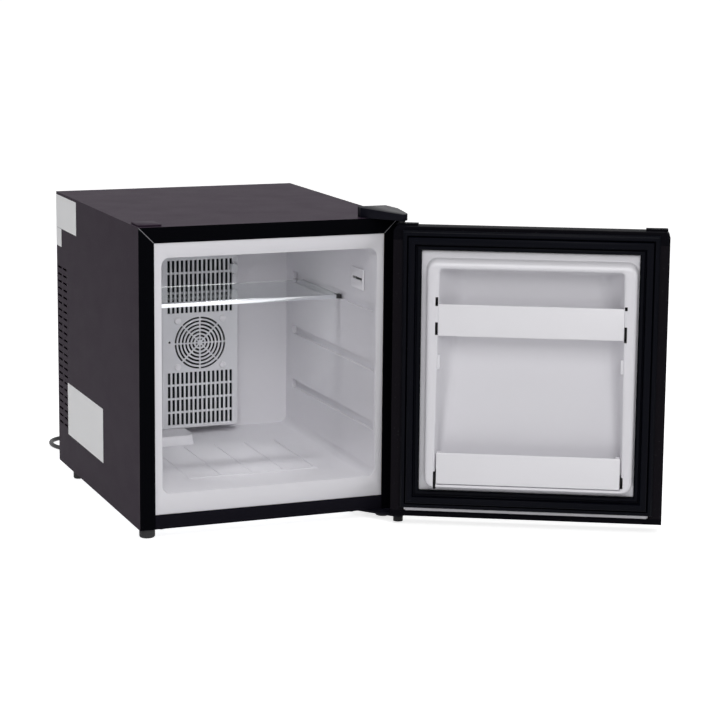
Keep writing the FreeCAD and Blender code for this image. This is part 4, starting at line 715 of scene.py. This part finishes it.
@dataclass
class Lead:
    """The mains lead: out of the rear cover, down to the floor and into its put-away coil."""

    wardrobe: Wardrobe
    radius: float = 3.4 * MM
    coil_start: float = 6.8
    coil_outer: float = 94.75
    coil_pitch: float = 7.5
    coil_climb: float = 7.4
    layer_halves: int = 5
    tail_start: float = 4.0
    tail: float = 32.0
    steps: int = 8
    length: float = 1.79
    route: tuple[Triple, ...] = (
        (-145, 254, 48), (-145, 276, 46.5), (-147, 298, 34), (-151, 314, 15), (-158, 334, 3.4),
        (-166, 354, 3.4), (-166, 377, 3.4), (-158, 396, 3.4), (-142, 407, 3.4), (-120, 409, 3.4),
        (-98, 403, 3.4), (-76, 403, 3.4))

    def coil(self, start: Array) -> Array:
        """Control points of the coil's half turns, in millimetres.

        Half turn i spans across = outer less pitch times the smaller of i and 2T - i. Its control points
        stand at equal angles, further out by one over the cosine of half a step, so the spline has the
        half turn's own radius.

        Args:
            start: Where the first half turn starts.

        Returns:
            The control points of all the half turns, and the tail's two points.
        """
        turns = 2 * self.layer_halves + 2
        index = np.arange(turns)
        across = self.coil_outer - self.coil_pitch * np.minimum(index, 2 * self.layer_halves - index)
        side = np.where(index % 2 == 0, -1.0, 1.0)
        rise = np.where(index == self.layer_halves, self.coil_climb, 0.0)
        y = start[1] + np.concatenate([[0.0], np.cumsum(side * across)])
        z = start[2] + np.concatenate([[0.0], np.cumsum(rise)])
        angle = (np.arange(self.steps) + 0.5) * math.pi / self.steps
        out = across[:, None] / 2 / math.cos(math.pi / 2 / self.steps)
        x_line = start[0] - side[:, None] * out * np.sin(angle)
        y_line = (y[:-1] + y[1:])[:, None] / 2 - side[:, None] * out * np.cos(angle)
        z_line = z[:-1, None] + rise[:, None] * angle / math.pi
        turned = np.stack([x_line, y_line, z_line], axis=-1).reshape(-1, 3)
        end = np.array([start[0], y[-1], z[-1]])
        tail = np.stack([end + (self.tail_start, 0.0, 0.0), end + (self.tail, 0.0, 0.0)])
        return np.concatenate([turned, tail])

    def build(self) -> Piece:
        """Make the lead as one spline, attach it to the cabinet and hide the nodes that it stands for.

        Returns:
            The new piece.
        """
        route = np.array(self.route, dtype=float)
        start = route[-1] + (self.coil_start, 0.0, 0.0)
        points = np.concatenate([route, self.coil(start)]) * MM
        data = bpy.data.curves.new("mains_lead", "CURVE")
        data.dimensions = "3D"
        data.bevel_depth = self.radius
        data.bevel_resolution = 4
        data.use_fill_caps = True
        spline = data.splines.new("NURBS")
        spline.points.add(len(points) - 1)
        spline.points.foreach_set("co", np.c_[points, np.ones(len(points))].ravel())
        spline.order_u = 3
        spline.use_endpoint_u = True
        spline.resolution_u = 5
        data.materials.append(self.wardrobe.material("lead_sheath"))
        piece = placed("mains_lead", data)
        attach(piece, Body.CABINET.value)
        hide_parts("power_cord", "cord_coil")
        LOG.info("mains_lead has %d control points", len(points))
        return piece


@dataclass
class DoorPlace:
    """Where the door stands: its pieces are worked out closed and then swung open."""

    pivot: tuple[float, float] = (180.3 * MM, -257.0 * MM)
    open_angle: float = math.radians(152.0)
    inner_face: float = -239.3
    low: float = 15.0
    high: float = 426.7

    def swing(self, points: Array) -> Array:
        """Closed-door points in millimetres to open-door points in metres."""
        return swung(points * MM, self.open_angle, self.pivot)

    def lay_out(self, table: Array, arc: int = 8) -> Array:
        """Rounded rectangles on the door, one for each row of a table.

        Args:
            table: Rows of half width, lowest and highest level, corner radius and depth, in millimetres.
            arc: Steps in each corner.

        Returns:
            Closed-door points, rows by points by three, in millimetres.
        """
        half, low, high, radius, depth = table.T
        flat = rounded_outline(half, (high - low) / 2, radius, arc)
        middle = ((high + low) / 2)[:, None]
        y = np.broadcast_to(depth[:, None], flat.shape[:2])
        return np.stack([flat[..., 0], y, flat[..., 1] + middle], axis=-1)


@dataclass
class Seal:
    """The soft magnetic seal: one ridged section carried round four sides and mitred at the corners."""

    wardrobe: Wardrobe
    place: DoorPlace
    side: float = 13.2
    bottom: float = 12.7
    top: float = 4.7
    half_width: float = 190.0
    sharp: float = math.radians(50)
    section: tuple[tuple[float, float], ...] = (
        (0.0, 0.0), (0.0, 2.6), (0.5, 3.5), (1.4, 3.9), (1.9, 4.6), (2.0, 8.9), (2.5, 9.9), (3.6, 10.3),
        (5.6, 10.3), (6.6, 9.9), (7.1, 8.9), (7.3, 6.4), (8.0, 5.6), (8.8, 6.4), (9.0, 12.6), (9.5, 13.8),
        (10.6, 14.3), (16.6, 14.3), (17.7, 13.8), (18.2, 12.6), (18.4, 7.4), (19.2, 6.2), (20.2, 5.9),
        (20.9, 6.6), (21.2, 7.9), (22.2, 8.4), (24.4, 8.4), (25.5, 7.9), (26.3, 6.6),
        (27.0, 5.0), (27.0, 0.0))

    def build(self) -> Piece:
        """Carry the section round: each of its points is a rectangle, further in by the point's inset.

        Returns:
            The new piece.
        """
        inset, proud = np.array(self.section).T
        half = self.half_width - self.side - inset
        low = self.place.low + self.bottom + inset
        high = self.place.high - self.top - inset
        sign_x = np.array([1.0, -1.0, -1.0, 1.0])
        upper = np.array([1.0, 1.0, 0.0, 0.0])
        x = half[:, None] * sign_x
        z = low[:, None] + (high - low)[:, None] * upper
        y = np.broadcast_to((self.place.inner_face + proud)[:, None], x.shape)
        rows = self.place.swing(np.stack([x, y, z], axis=-1))
        closed = np.concatenate([rows, rows[:1]])
        piece = mesh_piece("door_seal", closed.reshape(-1, 3), [grid_faces(*closed.shape[:2], True)])
        tidy_normals(piece)
        piece.data.set_sharp_from_angle(angle=self.sharp)
        self.wardrobe.settle(piece, Body.DOOR, "seal", "soft_seal", "door_gasket")
        LOG.info("door_seal has %d section points", len(inset))
        return piece


@dataclass
class DoorLining:
    """The door's white lining: a flange, a raised frame with soft rims, and a deep pocket."""

    wardrobe: Wardrobe
    place: DoorPlace
    wall: float = 1.2
    shift: float = -3.0
    scoop: float = 30.0
    scoop_from: float = 296.0
    scoop_over: float = 30.0
    shoulder: float = 3.6
    depth: float = 40.0
    face: float = -209.3
    first_moved: int = 1
    first_inside: int = 9
    pocket_half: float = 130.0
    arc: int = 10
    sharp: float = math.radians(60)
    lug_sharp: float = math.radians(40)
    lug_side: float = 127.5
    lug_radius: float = 0.9
    lug_root: int = 2
    lug_levels: tuple[tuple[float, float], ...] = ((100.5, 0.0), (243.0, 6.5), (310.0, 0.0))
    lug_profile: tuple[Triple, ...] = (
        (-227.3, 3.4, 9.9), (-226.9, 3.5, 10.0), (-218.2, 3.5, 10.0), (-217.5, 3.2, 9.6), (-217.3, 2.6, 9.0))
    notch_radius: float = 0.5
    notch_room: tuple[float, ...] = (-228.0, -200.0)
    # The cups in the notches are painted shade: black sheets where the gaps beside the racks are dark.
    shade_cup_gap: float = 0.05
    shade_cup_levels: tuple[float, ...] = (-227.0, -210.6, -210.6, -226.4)
    shade_cup_insets: tuple[float, ...] = (0.0, 0.0, 0.45, 0.45)
    notch_table: tuple[tuple[float, float, float, float], ...] = (
        (126.4, 1.9, 321.5, 334.0), (126.4, 1.9, 281.0, 299.0), (-132.4, 1.9, 321.5, 327.0),
        (-132.4, 1.9, 277.0, 299.0), (126.4, 1.9, 62.5, 88.0), (-132.4, 1.9, 72.0, 88.0))
    table: tuple[tuple[float, float, float, float, float], ...] = (
        (170.7, 23.6, 407.8, 3.0, -239.3),
        (148.0, 60.5, 387.0, 16.0, -239.3),
        (145.6, 62.5, 384.8, 15.0, -239.0),
        (144.6, 63.6, 383.6, 14.2, -238.0),
        (144.1, 64.1, 383.0, 13.6, -236.0),
        (142.4, 66.0, 380.8, 12.4, -214.5),
        (141.8, 66.3, 380.0, 12.0, -212.2),
        (140.6, 66.6, 379.2, 11.5, -210.4),
        (139.0, 66.9, 378.2, 10.5, -209.3),
        (132.8, 67.4, 376.6, 6.6, -209.3),
        (131.2, 67.7, 375.2, 6.2, -209.8),
        (130.4, 68.0, 374.3, 6.0, -211.4),
        (130.0, 68.4, 373.9, 6.0, -214.0),
        (129.5, 69.0, 373.6, 6.2, -226.0),
        (129.0, 69.4, 373.2, 6.6, -236.0),
        (128.4, 69.6, 372.9, 7.4, -241.5),
        (127.2, 70.1, 372.1, 8.4, -245.0),
        (124.6, 71.9, 370.0, 8.4, -247.8),
        (120.6, 74.9, 366.6, 8.4, -249.0),
        (115.0, 79.9, 361.6, 8.4, -249.3),
        (60.0, 130.0, 310.0, 8.4, -249.3),
        (4.0, 216.0, 224.0, 3.0, -249.3))

    def scooped(self, rows: Array) -> Array:
        """Draw the pocket's upper side walls in, most at its back, and move the raised frame sideways.

        Above scoop_from a point's half width shrinks by rise times (shoulder plus scoop times sink). Rise
        goes smoothly from nought to one over scoop_over, and sink is the square of the share of the depth.

        Args:
            rows: The lining's points on the closed door, rows by points by three, in millimetres.

        Returns:
            The moved points.
        """
        rise = np.clip((rows[..., 2] - self.scoop_from) / self.scoop_over, 0.0, 1.0)
        rise = rise * rise * (3 - 2 * rise)
        sink = np.clip((self.face - rows[..., 1]) / self.depth, 0.0, 1.0) ** 2
        row = np.arange(len(rows))[:, None]
        inward = rise * (self.shoulder + self.scoop * sink) / self.pocket_half
        shrink = np.where(row >= self.first_inside, inward, 0.0)
        out = rows.copy()
        out[..., 0] = out[..., 0] * (1 - shrink) + np.where(row >= self.first_moved, self.shift, 0.0)
        return out

    def build(self) -> list[Piece]:
        """Make the lining as one sheet with a wall, its six rack lugs and the black cups of painted shade in
        its notches.

        Returns:
            The new pieces.
        """
        rows = self.place.swing(self.scooped(self.place.lay_out(np.array(self.table), self.arc)))
        count, around = rows.shape[:2]
        faces = [grid_faces(count, around, True), np.arange(around)[None, :] + (count - 1) * around]
        lining = mesh_piece("door_lining", rows.reshape(-1, 3), faces)
        lining.data.set_sharp_from_angle(angle=self.sharp)
        wall = lining.modifiers.new("wall", "SOLIDIFY")
        wall.thickness = self.wall * MM
        wall.offset = -1.0
        self.wardrobe.settle(lining, Body.DOOR, "white_lining", "white_lining", "door_liner")
        cut(lining, blocks("notch_room", self.notches(0.0, self.notch_room, (0.0, 0.0))))
        LOG.info("door_lining has %d rows", count)
        return [lining, self.lugs(), self.notch_shade_cups()]

    def lugs(self) -> Piece:
        """Six blocks with rounded fronts: four carry the racks, and a spare pair reaches further out.

        A lug is a stack of rounded rectangles along Y, smaller over the last millimetre. Its first levels are
        its root, and the others move out by the reach that stands beside the lug's height.

        Returns:
            The new piece.
        """
        y, half_x, half_z = np.array(self.lug_profile).T
        outer = np.arange(len(y)) >= self.lug_root
        flat = rounded_outline(half_x, half_z, np.full(len(y), self.lug_radius), 3)
        rows = [self.place.swing(stacked(flat, y + outer * reach, self.shift + side * self.lug_side, level))
                for level, reach in self.lug_levels for side in (-1, 1)]
        piece = blocks("rack_lugs", rows, smooth=True)
        piece.data.set_sharp_from_angle(angle=self.lug_sharp)
        self.wardrobe.settle(piece, Body.DOOR, "white_lining", "white_lining")
        return piece

    def notches(self, spare: float, depths: tuple[float, ...], insets: tuple[float, ...]) -> list[Array]:
        """Blocks in the raised frame's inner edge above and below the lugs, one for each notch.

        Args:
            spare: How much smaller than the notch a block is on each side.
            depths: Levels of the stack along Y.
            insets: How far each level's outline is drawn in.

        Returns:
            Stacks of outlines on the open door.
        """
        made = []
        draw_in = np.array(insets) + spare
        for middle, half_x, low, high in self.notch_table:
            radii = np.full(len(depths), self.notch_radius)
            flat = rounded_outline(half_x - draw_in, (high - low) / 2 - draw_in, radii, 2)
            made.append(self.place.swing(stacked(flat, np.array(depths), middle, (high + low) / 2)))
        return made

    def notch_shade_cups(self) -> Piece:
        """Black cups that line the notches, each open to the front: out along the wall and back inside it.
        Their black is painted shade, standing for the dark of the narrow gaps beside the racks.

        Returns:
            The new piece.
        """
        piece = blocks("notch_shade_cups", self.notches(self.shade_cup_gap, self.shade_cup_levels, self.shade_cup_insets))
        self.wardrobe.settle(piece, Body.DOOR, "black_plastic", "moulded_black")
        return piece


@dataclass
class Cabinet:
    """The steel cabinet, its trims and hinges, with edges as soft as bent sheet and moulded parts have."""

    wardrobe: Wardrobe
    half_width: float = 190.0
    front: float = -224.0
    top: float = 433.0
    frame_width: float = 22.0
    facing: float = -0.9
    front_depth: float = 1.0
    seam: float = 0.9
    seam_tip_share: float = 0.05
    seam_ends: tuple[float, float] = (0.3, 0.5)
    seam_section: tuple[tuple[float, float], ...] = ((-1.0, 0.3), (0.0, -1.0), (1.0, 0.3))
    proud: float = 0.12
    # Pads of painted shade behind the duct's slots.
    pad_levels: tuple[tuple[float, float], ...] = ((80.0, 166.0), (252.5, 338.5))
    pad_half: float = 57.0
    pad_radius: float = 3.0
    pad_depths: tuple[float, ...] = (102.0, 102.4, 104.6, 105.0)
    pad_insets: tuple[float, ...] = (0.6, 0.0, 0.0, 0.6)
    rounded: tuple[Softened, ...] = (
        Softened("outer_shell", "cabinet_wrap", 0.45, Body.CABINET,
                 "charcoal_paint", "cabinet_steel", smooth=False),
        Softened("bottom_bar", "lower_bar", 0.4, Body.CABINET, "bar_paint", "cabinet_steel"),
        Softened("hinge_hole_cover", "hole_cover", 0.8, Body.CABINET, "charcoal_paint", "panel_plastic"),
        Softened("top_hinge_cover", "hinge_cover", 0.7, Body.CABINET, "hinge_black", "black_plastic"),
        Softened("bottom_hinge_bracket", "lower_hinge_plate", 0.5, Body.CABINET,
                 "hinge_black", "hinge_steel"),
        Softened("shelf_trim", "shelf_front_trim", 0.5, Body.SHELF, "bright_trim", "shelf_trim_plastic"),
        Softened("shelf_end_caps", "shelf_tips", 0.5, Body.SHELF, "moulded_black", "black_plastic"),
        Softened("duct_screw_caps", "screw_caps", 0.9, Body.CABINET, "white_moulding", "duct_plastic"),
        Softened("inner_liner", "cabinet_lining", 1.0, Body.CABINET, "white_lining", "white_lining"),
        Softened("thermostat_plate", "dial_plate", 0.6, Body.CABINET, "white_moulding", "thermostat_plastic"),
        Softened("plug_body", "lead_plug", 2.0, Body.CABINET, "plug_moulding", "cord_plastic"),
    )

    def build(self) -> list[Piece]:
        """Make each rounded copy, the front frame's painted shade, the seams of the front frame with their
        painted highlight and the dark pads of painted shade behind the duct's slots.

        Returns:
            The new pieces.
        """
        made = [row.build(self.wardrobe) for row in self.rounded]
        self.paint_front_shade(made[0])
        return [*made, self.seams(), self.slot_shade_pads()]

    def slot_shade_pads(self) -> Piece:
        """Two dark pads behind the duct's upper and lower slots: rounded rectangles stacked along Y. Their
        near-black is painted shade for the dark inside of the duct.

        Returns:
            The new piece.
        """
        inset, radii = np.array(self.pad_insets), np.full(len(self.pad_insets), self.pad_radius)
        rows = []
        for low, high in self.pad_levels:
            flat = rounded_outline(self.pad_half - inset, (high - low) / 2 - inset, radii, 4)
            rows.append(stacked(flat, np.array(self.pad_depths), 0.0, (high + low) / 2) * MM)
        piece = blocks("duct_slot_shade", rows)
        self.wardrobe.settle(piece, Body.CABINET, "black_plastic", "duct_shade_black")
        return piece

    def paint_front_shade(self, wrap: Piece) -> None:
        """Give the wrap's faces that look forward, out of its front plane, a near-black copy of the cabinet's
        paint: painted shade, for the frame is the same paint as the sides.

        Args:
            wrap: The cabinet's wrap.
        """
        wrap.data.materials.append(self.wardrobe.material("front_painted_shade"))
        count = len(wrap.data.polygons)
        ahead, middle = np.zeros(count * 3), np.zeros(count * 3)
        wrap.data.polygons.foreach_get("normal", ahead)
        wrap.data.polygons.foreach_get("center", middle)
        front = (ahead[1::3] < self.facing) & (middle[1::3] < (self.front + self.front_depth) * MM)
        wrap.data.polygons.foreach_set("material_index", front.astype(np.int32))

    def seams(self) -> Piece:
        """Two thin seams where the front frame's sides are mitred under its top: real ridges, their light
        grey a painted highlight.

        A seam is a bar along the corner's diagonal: its section is a flat triangle, proud by a hair.

        Returns:
            The new piece.
        """
        tip, full = self.seam_ends
        along = np.array([tip, full, self.frame_width - full, self.frame_width - tip])
        half = np.array([self.seam_tip_share, 1.0, 1.0, self.seam_tip_share]) * self.seam / 2
        section = np.array(self.seam_section)
        rows = []
        for side in (-1, 1):
            x = side * (self.half_width - along[:, None] + half[:, None] * section[None, :, 0])
            z = self.top - along[:, None] - half[:, None] * section[None, :, 0]
            y = np.broadcast_to(self.front + self.proud * section[None, :, 1], x.shape)
            rows.append(np.stack([x, y, z], axis=-1) * MM)
        piece = blocks("frame_seams", rows)
        self.wardrobe.settle(piece, Body.CABINET, "cabinet_steel", "seam_painted_highlight")
        return piece


@dataclass
class Door:
    """The door: steel face, moulded caps, seal, lining and two racks."""

    wardrobe: Wardrobe
    place: DoorPlace = field(default_factory=DoorPlace)
    rounded: tuple[Softened, ...] = (
        Softened("door_top_cap", "door_top", 0.8, Body.DOOR, "dark_cap", "panel_plastic"),
        Softened("door_bottom_cap", "door_foot", 0.8, Body.DOOR, "dark_cap", "panel_plastic"),
        Softened("upper_rack", "upper_door_rack", 0.7, Body.UPPER_RACK, "white_moulding", "rack_plastic"),
        Softened("lower_rack", "lower_door_rack", 0.7, Body.LOWER_RACK, "white_moulding", "rack_plastic"),
    )

    def build(self) -> list[Piece]:
        """Make the door's pieces in order.

        Returns:
            The new pieces.
        """
        made = [Seal(self.wardrobe, self.place).build(), *DoorLining(self.wardrobe, self.place).build()]
        return made + [row.build(self.wardrobe) for row in self.rounded]


# Studio, camera and the order of making.


@dataclass(frozen=True)
class Studio:
    """White floor, soft lamps and the camera of the picture."""

    eye: Triple = (-1.0161, -3.0744, 0.8290)
    yaw: float = 21.836
    pitch: float = 9.443
    roll: float = 0.542
    focal_pixels: float = 2218.2
    centre: tuple[float, float] = (356.0, 300.0)
    picture: float = 720.0
    sensor: float = 36.0
    reach: float = 40.0
    floor_lift: float = 0.75
    shade: float = 0.30
    lamp_drop: float = 1.5
    soft_lamps: tuple[tuple[str, Triple, Triple, float, float], ...] = (
        ("front_lamp", (-0.8, -3.6, 2.6), (0.1, -0.2, 0.2), 2.2, 70.0),
        ("top_lamp", (0.3, -0.4, 3.2), (0.0, 0.0, 0.2), 2.4, 35.0))
    inside_lamps: tuple[tuple[str, float, float], ...] = (
        ("inside_glow", 0.07, math.pi), ("inside_beam", 0.03, math.radians(50.0)))

    def camera(self) -> None:
        """Make the camera, turned from its yaw, pitch and roll and shifted to the picture's centre."""
        yaw, pitch, roll = (math.radians(v) for v in (self.yaw, self.pitch, self.roll))
        ahead = Vector((math.sin(yaw) * math.cos(pitch), math.cos(yaw) * math.cos(pitch), -math.sin(pitch)))
        right = Vector((math.cos(yaw), -math.sin(yaw), 0.0))
        up = right.cross(ahead)
        across = right * math.cos(roll) + up * math.sin(roll)
        upward = up * math.cos(roll) - right * math.sin(roll)
        data = bpy.data.cameras.new("picture_camera")
        data.lens = self.focal_pixels / self.picture * self.sensor
        data.sensor_width = self.sensor
        data.shift_x = 0.5 - self.centre[0] / self.picture
        data.shift_y = self.centre[1] / self.picture - 0.5
        data.clip_start = 0.1
        data.clip_end = 60.0
        camera = placed("picture_camera", data)
        turn = Matrix((across, upward, -ahead)).transposed().to_4x4()
        camera.matrix_world = Matrix.Translation(self.eye) @ turn
        bpy.context.scene.camera = camera

    def seen_directly(self, tree: Tree) -> Socket:
        """One for rays from the camera, a mirror or a glass, and nought for other rays.

        Args:
            tree: The shader tree that it goes into.

        Returns:
            The socket with that value.
        """
        path = tree.nodes.new("ShaderNodeLightPath")
        total = path.outputs["Is Camera Ray"]
        for label in ("Is Glossy Ray", "Is Transmission Ray"):
            total = maths(tree, "MAXIMUM", total, path.outputs[label])
        return total

    def floor(self) -> None:
        """Make a wide white floor that keeps the object's shadow."""
        points = np.array([(-1, -1, 0), (1, -1, 0), (1, 1, 0), (-1, 1, 0)]) * self.reach
        plane = mesh_piece("studio_floor", points, [np.array([[0, 1, 2, 3]])], smooth=False)
        material = bpy.data.materials.new("studio_white")
        material.use_nodes = True
        tree = material.node_tree
        shader = tree.nodes["Principled BSDF"]
        shader.inputs["Base Color"].default_value = (0.82, 0.82, 0.83, 1.0)
        shader.inputs["Roughness"].default_value = 0.9
        shader.inputs["Specular IOR Level"].default_value = 0.1
        shader.inputs["Emission Color"].default_value = (1.0, 1.0, 1.0, 1.0)
        lift = maths(tree, "MULTIPLY", self.seen_directly(tree), self.floor_lift)
        tree.links.new(lift, shader.inputs["Emission Strength"])
        plane.data.materials.append(material)

    def world(self) -> None:
        """White surroundings for the camera and an even pale light for the object."""
        world = bpy.data.worlds.new("studio_world")
        world.use_nodes = True
        bpy.context.scene.world = world
        tree = world.node_tree
        backdrop = tree.nodes["Background"]
        backdrop.inputs["Color"].default_value = (1.0, 1.0, 1.0, 1.0)
        strength = tree.nodes.new("ShaderNodeMapRange")
        strength.inputs["To Min"].default_value = self.shade
        strength.inputs["To Max"].default_value = 1.0
        tree.links.new(self.seen_directly(tree), strength.inputs["Value"])
        tree.links.new(strength.outputs["Result"], backdrop.inputs["Strength"])

    def lamp(self, name: str, place: Triple, aim: Triple, size: float, watts: float) -> Piece:
        """A square soft lamp.

        Args:
            name: The lamp's name.
            place: Where it hangs.
            aim: The point that it faces.
            size: Length of its side.
            watts: Its power.

        Returns:
            The lamp's object.
        """
        data = bpy.data.lights.new(name, "AREA")
        data.size = size
        data.energy = watts
        lamp = placed(name, data)
        lamp.location = place
        lamp.rotation_euler = (Vector(aim) - Vector(place)).to_track_quat("-Z", "Y").to_euler()
        return lamp

    def inside_lamp(self, name: str, watts: float, spread: float) -> None:
        """The fridge's own light: a strip just under its lens, as long and wide as the lens.

        Args:
            name: The lamp's name.
            watts: Its power.
            spread: Full angle of its cone, in radians.
        """
        low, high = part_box("lamp_lens")
        middle = ((low[0] + high[0]) / 2, (low[1] + high[1]) / 2, low[2] - self.lamp_drop * MM)
        lamp = self.lamp(name, middle, (middle[0], middle[1], 0.0), high[0] - low[0], watts)
        lamp.data.spread = spread
        lamp.rotation_euler = (0.0, 0.0, 0.0)
        lamp.data.shape = "RECTANGLE"
        lamp.data.size_y = high[1] - low[1]

    def build(self) -> None:
        """Set up the floor, the surroundings, the lamps and the camera."""
        bpy.context.scene.view_settings.view_transform = "Standard"
        self.floor()
        self.world()
        for row in self.soft_lamps:
            self.lamp(*row)
        for row in self.inside_lamps:
            self.inside_lamp(*row)
        self.camera()


def main() -> None:
    """Dress the fridge and set it in the studio."""
    logging.basicConfig(level=logging.INFO, format="%(name)s: %(message)s")
    wardrobe = Wardrobe()
    wardrobe.dress_nodes()
    for group in (Cabinet(wardrobe), Door(wardrobe)):
        for piece in group.build():
            LOG.info("made %s", piece.name)
    Lead(wardrobe).build()
    Studio().build()


if __name__ == "__main__":
    main()
